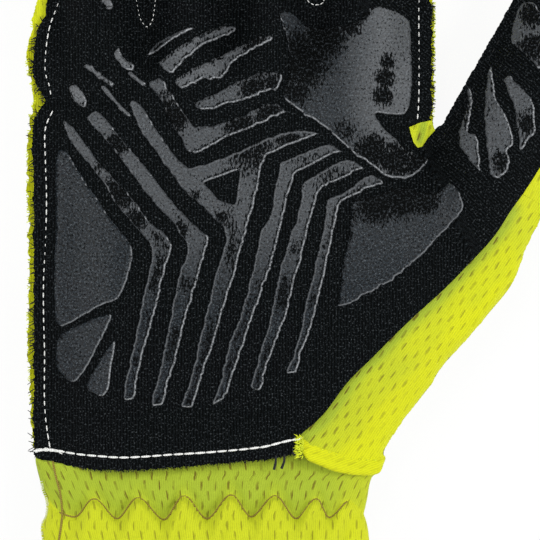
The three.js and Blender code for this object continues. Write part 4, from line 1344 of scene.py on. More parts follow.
@dataclass
class GripPrint:
    """Silicone print of the palm: heel patches, angled bars, and patches at the index finger and thumb.

    Each thin spot is a pixel, a radius in pixels and a strength.
    """

    sewing: Sewing
    thickness: float = 0.6
    bead_width: float = 0.5
    bead_rise: float = 0.13
    sunk: float = 0.15
    spacing: float = 0.75
    rings: tuple[float, ...] = (0.08, 0.3, 0.5, 0.72, 0.95)
    # Sides of the edge where painted shade lies: a shadow line beside the lit bead, and the side turned from
    # the lamps.
    shadow_line_side: tuple[float, float] = (0.95, -0.72)
    dim_side: tuple[float, float] = (-0.7, 0.5)
    thin_spots: tuple = (
        ((298, 62), 34, 1.0), ((325, 36), 24, 1.0), ((350, 26), 13, 0.9), ((296, 92), 18, 0.8),
        ((388, 62), 9, 0.9), ((385, 78), 11, 1.0), ((383, 96), 11, 1.0), ((372, 152), 20, 1.0),
        ((395, 160), 20, 1.0),
        ((418, 165), 16, 1.0), ((345, 132), 15, 0.6), ((375, 204), 22, 1.0), ((400, 199), 22, 1.0),
        ((424, 199), 17, 1.0), ((352, 214), 10, 0.7), ((120, 192), 20, 1.0), ((136, 220), 14, 0.9),
        ((99, 168), 9, 0.6), ((117, 145), 13, 1.0), ((180, 230), 10, 0.9), ((196, 196), 7, 0.7),
        ((250, 150), 30, 0.75), ((290, 146), 20, 0.8), ((172, 116), 20, 1.0), ((165, 97), 9, 0.6),
        ((240, 125), 20, 0.85), ((270, 114), 18, 0.9), ((255, 88), 20, 0.85), ((275, 85), 14, 0.9),
        ((255, 44), 16, 0.8), ((165, 40), 9, 0.3), ((532, 14), 15, 0.9), ((125, 90), 10, 0.8),
        ((108, 78), 10, 0.4), ((470, 108), 20, 0.9), ((500, 162), 13, 0.8), ((527, 124), 14, 0.9),
        ((532, 48), 17, 0.85),
        ((330, 176), 22, 0.5), ((355, 190), 20, 0.5), ((310, 166), 16, 0.5), ((222, 218), 9, 0.8),
        ((232, 200), 9, 0.7),
    )

    def film(self, look: Print, top: Height) -> Shell:
        """Returns the print of a look, its outline and windows traced from the photograph."""
        windows = [closed_curve(PHOTO.place(window), 0.3) for window in look.windows]
        return self.shell(closed_curve(PHOTO.place(look.outline), 0.3), windows, top, look)

    def shell(self, outline: Array, holes: Sequence[Array], top: Height, look: Print) -> Shell:
        """One print: a film that rises from its edge as a quarter ellipse, fuller in a bead by the edge.

        Args:
            outline: Rows of x and y.
            holes: Windows in the print.
            top: Height of the cloth below it.
            look: How it broke up.

        Returns:
            The closed print, with its thin share, which holds painted shade too, and its painted highlight
            share at each vertex.
        """
        fine, coarse = ([value_noise(*outline.T, size, seed + k) for k in range(2)]
                        for size, seed in ((0.9, 12), (2.2, 14)))
        shift = np.stack([0.36 * a + 0.3 * b for a, b in zip(fine, coarse)], axis=1)
        outline = outline + look.ragged * shift
        flat, faces, depth = cut_pattern(outline, self.spacing, holes, self.rings)
        edge = np.sqrt(1 - (1 - limit(depth / self.bead_width)) ** 2)
        bead = self.bead_rise * np.exp(-((depth - self.bead_width) / 0.28) ** 2)
        cloth = top(*flat.T)
        height = cloth + self.thickness * edge + bead + 0.05 * value_noise(*flat.T, 1.1, 8)
        made = shell_between(flat, faces, height, cloth - self.sunk, flat)
        thin, painted_shine = self.wear(flat, depth, outline, holes, look)
        # Marks: the thin share with painted shade, and the painted highlight share.
        made.marks = {"thin": np.tile(thin, 2), "bead": np.tile(painted_shine, 2)}
        return made

    def wear(self, at: Array, depth: Array, outline: Array, holes: Sequence[Array],
             look: Print) -> tuple[Array, Array]:
        """How thin the film is, with painted shade, and how much painted highlight it gets, both from 0 to 1.

        It is thin in spots and patchily in the middle of a bar. Its upper left edge, turned from the lamps,
        is partly torn print and partly painted shade, and a painted shadow line lies beside the bead of the
        lower right edge. That bead is whole and gets a painted highlight; the upper left one gets a little,
        and a painted reflection makes the film paler towards the fingers.

        Args:
            at: Rows of x and y.
            depth: Distance of each place from the edge.
            outline: Outline of the print.
            holes: Windows in it.
            look: How it broke up.

        Returns:
            The thin share and the bead share of each place.
        """
        def faces_side(shift: tuple[float, float]) -> Array:
            """Returns whether a step by the shift leaves the print."""
            moved = at + shift
            return ~inside(moved, outline) | in_any(moved, holes)

        x, y = at.T
        thin = np.zeros(len(at))
        for pixel, radius, strength in self.thin_spots:
            away = np.linalg.norm(at - PHOTO.spot(*pixel), axis=1) / (radius * PHOTO.mm_per_pixel)
            thin = np.maximum(thin, 1.15 * strength * np.exp(-away**2.5))
        patchy = limit(0.45 + 0.9 * value_noise(x, y, 4.5, 9))
        broken = limit(0.6 + 0.8 * value_noise(x, y, 1.7, 10))
        spread = 0.25 * look.ragged * limit(0.6 + value_noise(x, y, 7, 11))
        worn = look.band * patchy * ease((depth - 0.6) / 0.5) * ease((29 - y) / 14)
        dim, bright = faces_side(self.dim_side), faces_side(look.lit)
        # Painted shade: thin print on the side turned from the lamps, and a painted shadow line beside the
        # lit bead.
        torn = dim * look.ragged * broken * (1 - 0.8 * look.band)
        groove = faces_side(self.shadow_line_side) * 0.95 * (look.band > 0) * np.exp(-((depth - 0.8) / 0.2) ** 2)
        thin = np.maximum.reduce([thin, spread, worn, torn, groove])
        # Painted highlight on the lit bead, and painted reflection paler towards the fingers.
        painted_shine = np.exp(-((depth - 0.3) / 0.15) ** 2) * (bright * look.edge_highlight + dim * ~bright * 0.35 * look.band)
        painted_shine = np.maximum(painted_shine, (look.tone + look.glow * ease((x - 27) / 14)) * ease((y + 5) / 32))
        thin = thin * ~(bright & (depth < 0.6)) * (1 - 0.8 * dim * look.band * (depth < 0.6))
        return limit(thin), painted_shine

    def build(self) -> None:
        """Makes each print over its own node, and the short ones that have none."""
        top, silicone = self.sewing.form.front_top(), self.sewing.finishes.silicone
        for node, look in PALM_PRINTS.items():
            make_piece(node + "_film", self.film(look, top), silicone, node)
        small = [self.film(look, top) for look in SMALL_PRINTS]
        stubs = joined(small)
        stubs.marks = {key: np.concatenate([shell.marks[key] for shell in small]) for key in ("thin", "bead")}
        make_piece("short_grip_films", stubs, silicone)


PALM_PRINTS: dict[str, Print] = {
    "heel_grip_patch": Print((
        (60, 150), (66, 151), (78, 170), (95, 195), (112, 220), (129, 241), (133.5, 250), (131.5, 268),
        (125.5, 287), (118, 299.5), (103, 305), (80, 318), (62, 327), (57, 324), (54, 300), (54, 270),
        (56, 224), (57, 155),
    ), band=0.0, ragged=0.4, edge_highlight=0.55, tone=0.0),
    "heel_grip_lower_patch": Print((
        (112, 314), (88, 321), (69, 330), (58, 339), (56, 346), (57, 368), (62, 375), (72, 382), (76, 381),
        (86, 370), (96, 351), (107, 330),
    ), band=0.0, ragged=0.4, edge_highlight=0.55, tone=0.0),
    "heel_grip_small_patch": Print((
        (116, 340), (110, 346), (98, 365), (89.5, 380), (88, 389), (96, 393), (103, 396), (108.5, 390.5),
        (112, 370), (115.5, 349),
    ), band=0.0, ragged=0.2),
    "palm_grip_bar_1": Print((
        (63, 121), (69, 138), (86, 160), (103, 182), (120, 208), (138, 229), (150, 243), (153, 252),
        (150, 270), (143, 299), (138, 327), (132.6, 353), (127.4, 377), (124.3, 399), (133.5, 399),
        (138, 380), (144.7, 351), (151.5, 327), (158.4, 301), (166, 270), (170.5, 255), (172, 244.5),
        (165, 234), (151.5, 224), (134, 200), (119, 184), (103, 167), (83, 141), (70.6, 125),
    )),
    "palm_grip_bar_2": Print((
        (87, 117), (103, 136), (120.5, 158), (138, 182), (155, 203), (172, 222), (182.5, 236), (187.7, 246),
        (186, 258), (181, 270), (175.7, 292), (168.8, 327), (162, 361), (156.7, 382), (153, 404),
        (162.7, 404), (168.8, 382), (175.7, 361), (184, 327), (191, 304), (200.5, 270), (205, 253),
        (209, 237.6), (203, 232.5), (189.4, 220.4), (172, 201.5), (155, 179), (138, 158.4), (120.5, 138),
        (103, 117), (96.4, 112),
    )),
    "palm_grip_bar_3": Print((
        (131, 102), (134, 116), (142, 132), (152, 147), (163, 161), (173, 175), (188, 195), (201.5, 205),
        (215, 219), (224, 229), (225.6, 241), (222, 255), (217, 270), (210, 299), (203, 327), (196, 356),
        (191, 377), (187, 389), (182.5, 406), (193, 406), (198, 389), (205, 370), (213.5, 344), (220, 320),
        (227, 299), (236, 270), (243, 243), (250, 217.6), (256.5, 194), (260, 176), (263, 164.5),
        (266, 157), (275, 152), (291, 145), (302, 140.6), (317, 133.6), (306, 131), (290, 132), (270, 138),
        (245, 149), (219, 160), (197, 167), (190, 168), (182, 164), (173, 153), (163, 139), (151, 121),
        (142, 107), (136, 101),
    ), ((
        (204.5, 183.5), (206, 182.3), (222, 176.6), (238.3, 171), (239.6, 172.2), (237.8, 188),
        (235.6, 203), (234, 204.6), (226, 202.6), (219, 200), (212, 192),
    ),)),
    "palm_grip_bar_4": Print((
        (327, 145.5), (306, 152.5), (293, 158), (280, 163.4), (278.7, 169), (277, 180), (273, 201),
        (269.5, 218), (261, 231), (258.7, 242.5), (253, 270), (246, 296), (239, 320), (229, 344),
        (224, 366), (220, 384), (213.5, 403.5), (227, 394), (234, 373), (243, 347.5), (253, 316.5),
        (262, 292), (269.5, 270), (275, 250), (279, 235), (282, 222), (288, 198), (291.7, 185),
        (295.5, 174), (304, 169), (320.5, 160), (334.6, 153.6), (342, 152),
    )),
    "palm_grip_bar_5": Print((
        (347.6, 160), (326, 169), (312, 178), (303, 184), (301, 201), (296.6, 220), (290, 235),
        (285.8, 250), (280, 270), (270, 316.5), (267, 332), (262, 344), (256.6, 366), (251.4, 387),
        (260, 389), (265, 373), (271.7, 353), (278.6, 334), (285.5, 316.5), (292, 292), (297.5, 270),
        (301, 260), (305, 240), (309.6, 223), (314, 207), (317, 195), (321.6, 188), (329, 184),
        (342, 178.5), (353, 173), (362.8, 169),
    )),
    "palm_grip_bar_6": Print((
        (371, 175), (352, 187), (340, 195), (328, 200), (326, 212), (325, 223), (320.5, 241), (316, 259),
        (309.6, 287), (304.4, 310), (299, 334), (294, 353), (286.4, 372.5), (295.5, 372), (301, 353),
        (308, 335), (314.8, 313), (320, 292), (325, 270), (327, 260), (331, 242.5), (335.6, 223),
        (339, 208), (343, 201), (356, 195), (369, 188), (382.8, 183),
    )),
    "palm_grip_chevron": Print((
        (150, 83.6), (160.6, 100.6), (168, 116), (177.5, 133), (192, 152.7), (206.6, 149), (221, 141),
        (245.4, 131), (269.6, 120), (286.6, 112.7), (281.8, 109), (274.5, 104), (257.5, 109),
        (239.4, 117.5), (218.7, 124.8), (203, 127), (193.3, 126), (184.8, 116), (177.5, 104), (168, 89.7),
        (159.4, 78.8),
    ), band=0.3, ragged=0.7),
    "knuckle_grip_bar_upper": Print((
        (160, 62), (221, 26), (233, 25), (236, 27), (232, 31.5), (216, 39), (203, 47), (190, 57),
        (177.5, 66.6), (171.5, 74), (163, 67),
    ), band=0.2, ragged=0.9, tone=0.2),
    "knuckle_grip_bar_middle": Print((
        (175, 80), (179, 77.6), (243, 45), (269.6, 36.4), (272, 39), (257.5, 47), (243, 56), (233, 63),
        (222, 79), (213, 80), (203, 81), (187, 88.5), (182, 90),
    ), band=0.2, ragged=0.9, tone=0.2),
    "knuckle_grip_bar_lower": Print((
        (194.5, 106.6), (227, 89), (257.5, 75), (281, 75), (277, 90), (269.6, 91), (245.4, 100), (228, 105),
        (215, 109), (199, 110),
    ), band=0.3, ragged=0.8),
    "knuckle_grip_stub_1": Print((
        (147, 56), (157, 42), (171.5, 35), (190, 28), (194, 28.5), (185, 34), (168, 43.6),
    ), band=0.3, ragged=0.6),
    "knuckle_grip_stub_2": Print((
        (69, 88), (74, 84), (86, 98), (87, 103), (83.5, 108.5),
    ), band=0.2, ragged=0.7, tone=0.24),
    "knuckle_grip_stub_3": Print((
        (84, 67), (88, 65), (101, 74), (114, 84), (113, 88), (105, 82), (93, 74),
    ), band=0.2, ragged=0.7, tone=0.24),
    "index_base_grip": Print((
        (280, 11), (291, 13), (303, 22), (320, 27), (339, 26), (356, 22), (366, 17), (370, 8), (390, 10),
        (404, 15.5), (410, 21), (411, 34), (412, 60), (412, 86), (409.5, 103), (405, 114), (377, 114),
        (382, 126), (394, 139), (406, 150), (428, 160), (413, 176), (394, 179), (387, 177), (370, 165),
        (353, 153), (329, 131), (304, 114), (284, 97), (285, 88), (289, 78), (290, 60), (287, 40),
    ), band=0.0, ragged=0.7, edge_highlight=0.8, tone=0.03, glow=0.16, lit=(0.0, -0.65)),
    "thenar_grip": Print((
        (353, 203), (370, 197), (390, 190), (408, 188), (426, 193), (440, 191), (450, 183), (463, 205),
        (456, 217), (442, 232.5), (425, 251), (404, 270), (380, 287), (363, 296), (347.5, 304), (337, 306),
        (338, 302), (341, 287), (341.5, 270), (344, 257), (348, 239), (351, 218),
    ), band=0.0, ragged=0.8, edge_highlight=0.45, tone=0.03),
}

SMALL_PRINTS = (
    Print((
        (114.5, 53), (118, 48.5), (124, 57), (135, 67), (133, 71.5), (127, 70), (118, 62),
    ), band=0.3, ragged=0.8, tone=0.24),
    Print((
        (128, 74), (131, 72.5), (139, 79), (146, 84), (144, 86.5), (136, 81),
    ), band=0.0, ragged=0.3, tone=0.24),
    Print((
        (101, 87), (104, 86), (113, 96), (124, 108), (131, 116), (128, 117), (116, 105), (106, 94),
    ), band=0.0, ragged=0.5, tone=0.24),
    Print((
        (101, -4), (108, -5), (113, 3), (110, 9), (104, 7),
    ), band=0.0, ragged=0.9, tone=0.24),
)

THUMB_PRINTS: dict[str, Points] = {
    "thumb_base_grip_1": (
        (470, 87), (466, 110), (462, 124), (459.6, 141), (462, 150), (472, 163.5), (479.5, 171),
        (478.5, 151), (476, 136), (469, 132), (471, 112), (473, 92),
    ),
    "thumb_base_grip_2": (
        (491, 66), (486, 90), (485, 105), (486, 141), (488, 156), (491, 176), (498, 178), (504.5, 175),
        (509, 165.5), (507.6, 151), (512.7, 145), (510.6, 131), (505.5, 115.5), (497, 101), (494, 80),
    ),
    "thumb_base_grip_3": (
        (505, 78), (507, 90), (511.6, 100), (514, 112), (518, 133), (520, 150), (528, 141), (536, 129),
        (534, 121), (533, 105), (527, 95), (517, 85), (509, 76),
    ),
    "thumb_tip_grip_4": (
        (519.5, 7), (512, 41), (518, 46), (531.7, 62), (539, 70), (546, 50), (544, 22), (532, 2),
    ),
}


@dataclass
class ThumbSide:
    """Yellow panel between the palm's diagonal edge and the silhouette, with its folded hem."""

    sewing: Sewing
    silhouette: Points = (
        (384, 465), (386, 459), (384, 454), (397, 430), (411, 411), (430, 387), (442, 368), (468, 339),
        (490, 313), (511, 287), (519, 270), (528, 244.5), (540, 222),
    )
    hem_lower: Points = (
        (301, 452), (308, 460), (317, 464), (331, 470), (347, 474), (362, 475.6), (372, 475.6), (380, 473),
        (384, 465),
    )
    hem_upper: Points = ((300, 436), (312, 444), (331, 451), (345, 455), (359, 458), (373, 459), (386, 457))
    hem_stitches: Points = ((322, 449), (340, 455.5), (359, 459.5), (375, 460.5))
    drop: float = 1.05
    round_over: float = 1.6
    tuck: float = 3.0
    hem_roll: float = 1.9
    loose_yarns: int = 90

    def rim(self) -> Array:
        """Returns the silhouette from the cuff to the thumb's tip, in mm."""
        thumb = self.sewing.form.digits["thumb"]
        beyond = thumb.side(1, (-thumb.blend_reach, thumb.length - thumb.tip_round), 1.0, 0.0)
        tip = thumb.arc(np.linspace(0, math.pi, 17), 0.0)[9:][::-1]
        return curve_through(np.vstack([PHOTO.place(self.silhouette), beyond, tip]), 1)

    def rounding(self) -> Callable[[Array], tuple[Array, Array]]:
        """Returns what measures each place from the silhouette, where the cloth is rounded over."""
        rim = self.rim()

        def measured(at: Array) -> tuple[Array, Array]:
            """Returns the distance in mm and a share from 0 at the silhouette to 1 past the rounding."""
            away = distance_to(at, rim)
            return away, np.sqrt(1 - (1 - limit(away / self.round_over)) ** 2)
        return measured

    def top(self, digit: Digit | None = None) -> Height:
        """Returns the front's height, one cloth lower beside the palm and rounded at the silhouette."""
        seam, front = self.sewing.form.seam_height, self.sewing.form.front_top(digit)
        edge = PHOTO.curve(Palm.diagonal, 1)
        rounding = self.rounding()

        def height(x: Array, y: Array) -> Array:
            """Returns the height of the panel's outer face."""
            at = np.stack([x, y], axis=1)
            near = np.exp(-(distance_to(at, edge) / 5) ** 2)
            away, turned = rounding(at)
            rise = front(x, y) - seam
            lowered = self.drop * (0.35 + 0.65 * near) * limit(rise / 3)
            u, v = self.sewing.weave.turned(at, self.sewing.weave.thumb_lean).T
            pleats = 0.3 * value_noise(u, v * 0.2, 5, 17) + 0.12 * value_noise(u, v * 0.25, 1.8, 18)
            return seam + (rise - lowered) * turned + pleats * limit(away / 6)
        return height

    def shell(self, outline: Array, spacing: float, lean: float, digit: Digit | None = None) -> Shell:
        """One piece of the panel's mesh, one cloth thick and nowhere below the seam line.

        Args:
            outline: Rows of x and y around it.
            spacing: Distance between inner points.
            lean: Angle of its slits in degrees.
            digit: The thumb, where the piece lies on it.

        Returns:
            The closed piece.
        """
        form = self.sewing.form
        flat, faces, _ = cut_pattern(outline, spacing)
        height = self.top(digit)(*flat.T)
        under = np.minimum(np.maximum(height - form.cloth, form.seam_height - 0.02), height - 0.02)
        return shell_between(flat, faces, height, under, self.sewing.weave.turned(flat, lean))

    def outline(self) -> Array:
        """Returns the closed edge of the panel; it reaches a tuck under the palm's edge."""
        thumb = self.sewing.form.digits["thumb"]
        diagonal = PHOTO.curve(Palm.diagonal, 2)
        under = diagonal - right_of(diagonal) * self.tuck
        outer = thumb.world(thumb.width / 2 + 1.0, -thumb.blend_reach)
        inner = thumb.world(THUMB_SPLIT - 0.4, -thumb.blend_reach)
        lower = PHOTO.place(self.hem_lower)
        strokes = [
            Stroke(lower, fray=0.05),
            Stroke(np.vstack([PHOTO.place(self.silhouette), outer]), fray=0.09, wave=0.15, wave_pitch=4),
            line(outer, inner),
            Stroke(np.vstack([inner, under[::-1][1:]])),
            line(under[0], lower[0]),
        ]
        return outline_of(strokes, self.sewing.edge_step, seed=41)

    def build(self) -> None:
        """Makes the panel, its hem, the stitches above the hem and the torn ends at the hem's corner."""
        finishes = self.sewing.finishes
        top = self.top()
        shell = self.shell(self.outline(), 1.0, 35)
        at = shell.verts[:, :2]
        away = distance_to(at, PHOTO.curve(Palm.diagonal, 1))
        # Painted shade in the stretch mark: a shadow band along the palm's black edge, darker towards the
        # wrist, and paler far from the edge, on the lit side.
        drawn = 0.95 * np.exp(-(away / 2.4) ** 2) + 0.25 * np.exp(-(away / 9) ** 2)
        lower = 0.25 * ease((-5 - at[:, 1]) / 25) - 0.75 * ease((away - 7) / 10)
        shell.marks["stretch"] = drawn + lower + 0.12 * value_noise(*at.T, 6, 27)
        make_piece("thumb_side_cloth", shell, finishes.mesh, "thumb_side_panel")
        self.build_hem(top)
        fine = Stitch(length=0.8, radius=0.14, lift=0.45)
        stitches = self.sewing.stitch_row(PHOTO.curve(self.hem_stitches, 1), top, fine)
        make_piece("panel_hem_stitches", stitches, finishes.yellow_thread)
        self.build_fuzz(top)

    def build_hem(self, top: Height) -> None:
        """Makes the folded hem: a strip that grows out of the panel and rolls over at its lower edge."""
        right, left = self.hem_lower[-1:] + self.hem_upper[-1:], self.hem_upper[:1] + self.hem_lower[:1]
        strokes = [Stroke(PHOTO.place(self.hem_lower), fray=0.05), Stroke(PHOTO.place(right)),
                   Stroke(PHOTO.place(self.hem_upper)[::-1]), Stroke(PHOTO.place(left), fray=0.2)]
        outline = outline_of(strokes, self.sewing.edge_step, seed=47)
        flat, faces, depth = cut_pattern(outline, 0.7, rings=(0.15, 0.45))
        base = top(*flat.T)
        upper = PHOTO.curve(self.hem_upper, 1)
        roll = np.sqrt(1 - (1 - limit(depth / self.hem_roll)) ** 2) * ease(distance_to(flat, upper) / 3.2)
        height = base + 0.04 + roll + 0.1 * value_noise(*flat.T, 3, 19)
        shell = shell_between(flat, faces, height, base - 0.6, self.sewing.weave.turned(flat, 70) + 0.9)
        shell.marks["stretch"] = np.full(len(shell.verts), -0.55)
        make_piece("panel_hem_fold", shell, self.sewing.finishes.mesh)

    def build_fuzz(self, top: Height) -> None:
        """Makes the loose yellow yarns where the hem's end is cut, beside the black corner."""
        random = np.random.default_rng(53)
        shells = []
        for _ in range(self.loose_yarns):
            at = PHOTO.spot(random.uniform(298, 303.5), random.uniform(436, 456))
            tip = at + [-random.uniform(0.3, 1.7), random.uniform(-1.0, 1.0)]
            level = float(top(at[:1], at[1:])[0]) + 0.9
            middle = (at + tip) / 2 + random.uniform(-0.25, 0.25, 2)
            end = level + random.uniform(0.1, 0.6)
            points = np.array([[*at, level - 0.2], [*middle, level + 0.5], [*tip, end]])
            shells.append(tube(points, np.array([0.14, 0.12, 0.05]), 4))
        make_piece("loose_hem_yarns", joined(shells), self.sewing.finishes.yellow_thread)


@dataclass
class Back:
    """Back of the hand: one yellow mesh panel whose raw edge stands out past the black one."""

    sewing: Sewing
    yellow_edge_lower: Points = ((34, 458), (32, 440), (29, 390), (27, 326), (28, 270), (27, 200), (27, 140))
    yellow_edge: Points = ((27, 140), (29, 115), (33.5, 97), (28, 75), (26, 57), (30, 35), (31, 18))
    hem: Points = ((34, 458), (60, 462), (120, 466), (200, 466), (280, 464), (350, 464), (384, 462))
    index_edge: Points = ((434.8, 14), (434.3, 60), (434.5, 100), (433, 118))
    index_fray: Points = ((434.8, -4), (434.3, 60), (434.5, 100), (433, 118))
    index_seam: float = 419.5
    hand_curl: float = 0.35
    digit_curl: float = 0.6
    curl_from: float = 3.0

    def outline(self) -> Array:
        """Returns the closed edge of the panel, wavy where it is raw."""
        thumb = self.sewing.form.digits["thumb"]
        fingers = root_line(self.sewing.form, BACK_ROOTS)
        upper = np.vstack([PHOTO.place(self.yellow_edge), fingers[0].points[:1]])
        side = np.vstack([fingers[-1].points[-1], PHOTO.place(self.index_edge), CROTCH])
        left, right = thumb.world([THUMB_LEFT_ROOT, thumb.width / 2 + 1.0], [-thumb.blend_reach] * 2)
        silhouette = PHOTO.place(ThumbSide.silhouette)[::-1]
        strokes = [
            Stroke(PHOTO.place(self.yellow_edge_lower), fray=0.08, wave=0.6, wave_pitch=3),
            Stroke(upper, fray=0.08, wave=0.6, wave_pitch=3),
            *fingers,
            Stroke(side, fray=0.14, wave=0.32, wave_pitch=3),
            line(CROTCH, left),
            line(left, right),
            Stroke(np.vstack([right, silhouette])),
            Stroke(np.vstack([silhouette[-1], PHOTO.place(self.hem)[::-1][1:]])),
        ]
        return outline_of(strokes, self.sewing.edge_step, seed=61)

    def curl(self, at: Array, digit: Digit | None) -> Array:
        """Returns how far the raw edge outside the black one curls up towards the palm's side."""
        form, (x, y) = self.sewing.form, at.T
        if digit is None:
            right = (x - PHOTO.spot(self.index_seam, 0)[0] - self.curl_from) * (y > form.along(0.75))
            left = -form.from_left(x) - self.curl_from
            return self.hand_curl * ease(np.where(x < 0, left, right) / 2.2)
        r, s = digit.local(x, y)
        out = np.where((r > 0) & (digit.strip > 0), -1.0, np.abs(r) - digit.half(s) - 2.2)
        return self.digit_curl * ease(out / 0.8) * ease(s / 4)

    def shell(self, outline: Array, digit: Digit | None = None) -> Shell:
        """Returns a piece of the back's mesh, rounded over at the silhouette and curled at its edge."""
        form = self.sewing.form
        flat, faces, _ = cut_pattern(outline, 1.25, rings=(0.5,))
        turned = ThumbSide(self.sewing).rounding()(flat)[1]
        under = form.seam_height + (form.back_outer(digit)(*flat.T) - form.seam_height) * turned
        top = np.maximum(np.minimum(under + form.cloth, form.seam_height - 0.02), under + 0.02)
        lift = self.curl(flat, digit)
        shell = shell_between(flat, faces, top + lift, under + lift, self.sewing.weave.turned(flat))
        shell.marks["stretch"] = np.tile(0.1 - 0.9 * limit(lift / 0.2), 2)
        return shell

    def build(self) -> None:
        """Makes the panel and the torn yarns of its raw edge."""
        finishes, level = self.sewing.finishes, self.sewing.form.seam_height + 0.2
        make_piece("back_cloth", self.shell(self.outline()), finishes.mesh, "back_panel")
        left = PHOTO.curve(self.yellow_edge_lower + self.yellow_edge[1:], 0.3)[::-1]
        right = PHOTO.curve(self.index_fray, 0.3)[::-1]
        fibres = self.sewing.fibres
        shells = [fibres(left, level, 120, 0.55, 67), fibres(right, level, 80, 0.6, 69)]
        make_piece("torn_mesh_yarns", joined(shells), finishes.yellow_thread)


@dataclass(frozen=True)
class Part:
    """Base or tip of a digit: one length of its cloth."""

    digit: Digit
    tip: bool
    tip_reach: float = 8.0
    root_reach: float = 7.0

    @property
    def stem(self) -> str:
        """Returns how the part's names start."""
        return f"{self.digit.name}_{'tip' if self.tip else 'base'}"

    @property
    def span(self) -> tuple[float, float]:
        """Returns where the part's straight sides start and end along the digit."""
        digit, middle = self.digit, self.digit.base_length / 2
        return (middle, digit.length - digit.tip_round) if self.tip else (-digit.blend_reach, middle)

    def bend(self, piece: bpy.types.Object, level: float) -> None:
        """Bakes the piece's transform into its mesh; it is not blended across the part's crease.

        Args:
            piece: The piece.
            level: Height of the joint's axis in mm; not used.
        """
        digit = self.digit
        if self.tip:
            crease, after = digit.base_length, self.tip_reach
            before = min(after, crease / 2 - 1)
        else:
            crease, before, after = 0, digit.blend_reach, self.root_reach
        start, end = digit.world([0.0, 0.0], [crease - before, crease + after])
        self.stem
        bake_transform(piece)


@dataclass
class DigitCloth:
    """Cloth of the fingers and the thumb: black fronts and yellow backs, sewn at the sides, raw edges out."""

    sewing: Sewing
    palm_back: Back
    side: ThumbSide
    allowance: float = 2.2
    strip_turn: float = math.acos(-0.62)
    reveals: dict[str, tuple[float, float]] = field(
        default_factory=lambda: {"little": (1.4, 0.5), "index": (0.5, 1.0), "thumb": (-0.5, 0.0)})

    def edge(self, part: Part, back: bool) -> Array:
        """Closed outline of one panel of a digit.

        Args:
            part: Base or tip of the digit.
            back: Whether it is the yellow panel.

        Returns:
            Rows of x and y.
        """
        digit, thumb = part.digit, part.digit.strip > 0
        thumb_roots = (-THUMB_LEFT_ROOT - digit.width / 2, 0.0)
        roots = (BACK_ROOTS if back else FRONT_ROOTS).get(digit.name, thumb_roots)
        reveals = self.reveals.get(digit.name, (0.5, 0.5)) if back else (0.0, 0.0)
        fray = {"fray": 0.14, "wave": 0.28, "wave_pitch": 4} if back else {"fray": 0.15}
        extra = self.allowance + reveals[0]
        left = digit.side(-1, part.span, roots[0], extra)
        if not thumb:
            right = digit.side(1, part.span, roots[1], self.allowance + reveals[1])
        elif back:
            right = digit.side(1, part.span, 1.0, 0.0)
        else:
            right = self.split(part)
        if part.tip:
            whole = digit.arc(np.linspace(0, math.pi, 17), extra)
            arc = self.open_tip(digit, extra, back) if thumb else whole
            across = Stroke(np.vstack([left[-1], arc[1:-1], right[-1]]), **fray)
        else:
            across = line(left[-1], right[-1])
        if thumb and not part.tip:
            left = np.vstack([digit.world(THUMB_LEFT_ROOT, part.span[0]), CROTCH, left[5:]])
        strokes = [Stroke(left, straight=thumb and not part.tip, **fray), across,
                   Stroke(right[::-1], **({} if thumb else fray)), line(right[0], left[0])]
        return outline_of(strokes, self.sewing.edge_step, seed=71 + len(digit.name) + (5 if back else 0))

    def split(self, part: Part) -> Array:
        """Returns the line where the thumb's black front meets its yellow outer strip."""
        digit, s = part.digit, np.linspace(*part.span, 12)
        ratio = np.where(s > 0, digit.half(s) / digit.half(0), 1.0)
        return digit.world(THUMB_SPLIT * ratio + 0.12 * np.minimum(s + digit.blend_reach, 9), s)

    def open_tip(self, digit: Digit, allowance: float, back: bool) -> Array:
        """Returns the thumb's tip edge, whose allowance fades out towards the open side."""
        share = np.linspace(0, 1, 17)
        turn = share * (math.pi if back else self.strip_turn)
        return digit.arc(turn, allowance * (1 - ease(share * 1.3 - 0.3)))

    def hang(self, part: Part, name: str, shell: Shell, finish: Finish, node: str = "") -> None:
        """Makes one piece of a part, tied to no body, and bakes its transform.

        Args:
            part: Base or tip of the digit.
            name: Name of the piece.
            shell: Its surface in mm.
            finish: Its finish.
            node: The CAD node that it replaces, if any.
        """
        part.bend(make_piece(name, shell, finish, node, body=""), self.sewing.form.seam_height)

    def build(self) -> None:
        """Makes the panels, stitches and prints of each part of each digit."""
        for digit in self.sewing.form.digits.values():
            for part in (Part(digit, False), Part(digit, True)):
                self.build_part(part)

    def build_part(self, part: Part) -> None:
        """Makes the front, the back, the strip, the stitches and the prints of one part."""
        sewing, digit, stem = self.sewing, part.digit, part.stem
        finishes, top = sewing.finishes, sewing.form.front_top(part.digit)
        front = sewing.knit_shell(self.edge(part, False), digit)
        self.hang(part, stem + "_front_cloth", front, finishes.knit, stem + "_front")
        back = self.palm_back.shell(self.edge(part, True), digit)
        self.hang(part, stem + "_back_cloth", back, finishes.mesh, stem + "_back")
        if digit.strip > 0:
            self.hang(part, stem + "_outer_cloth", self.strip(part), finishes.mesh, stem + "_outer")
        thread = replace(finishes.black_thread, slot=Slot.MESH) if digit.strip > 0 else finishes.white_thread
        self.hang(part, stem + "_stitches", self.seams(part, top), thread)
        films = {}
        if digit.strip > 0:
            films = {node: GripPrint(sewing).film(Print(pixels, band=0.5, ragged=0.7), top)
                     for node, pixels in THUMB_PRINTS.items() if node.startswith(stem)}
        elif part.tip:
            films = {stem + "_grip": self.pad(digit, top)}
        for node, film in films.items():
            self.hang(part, node + "_film", film, finishes.silicone, node)

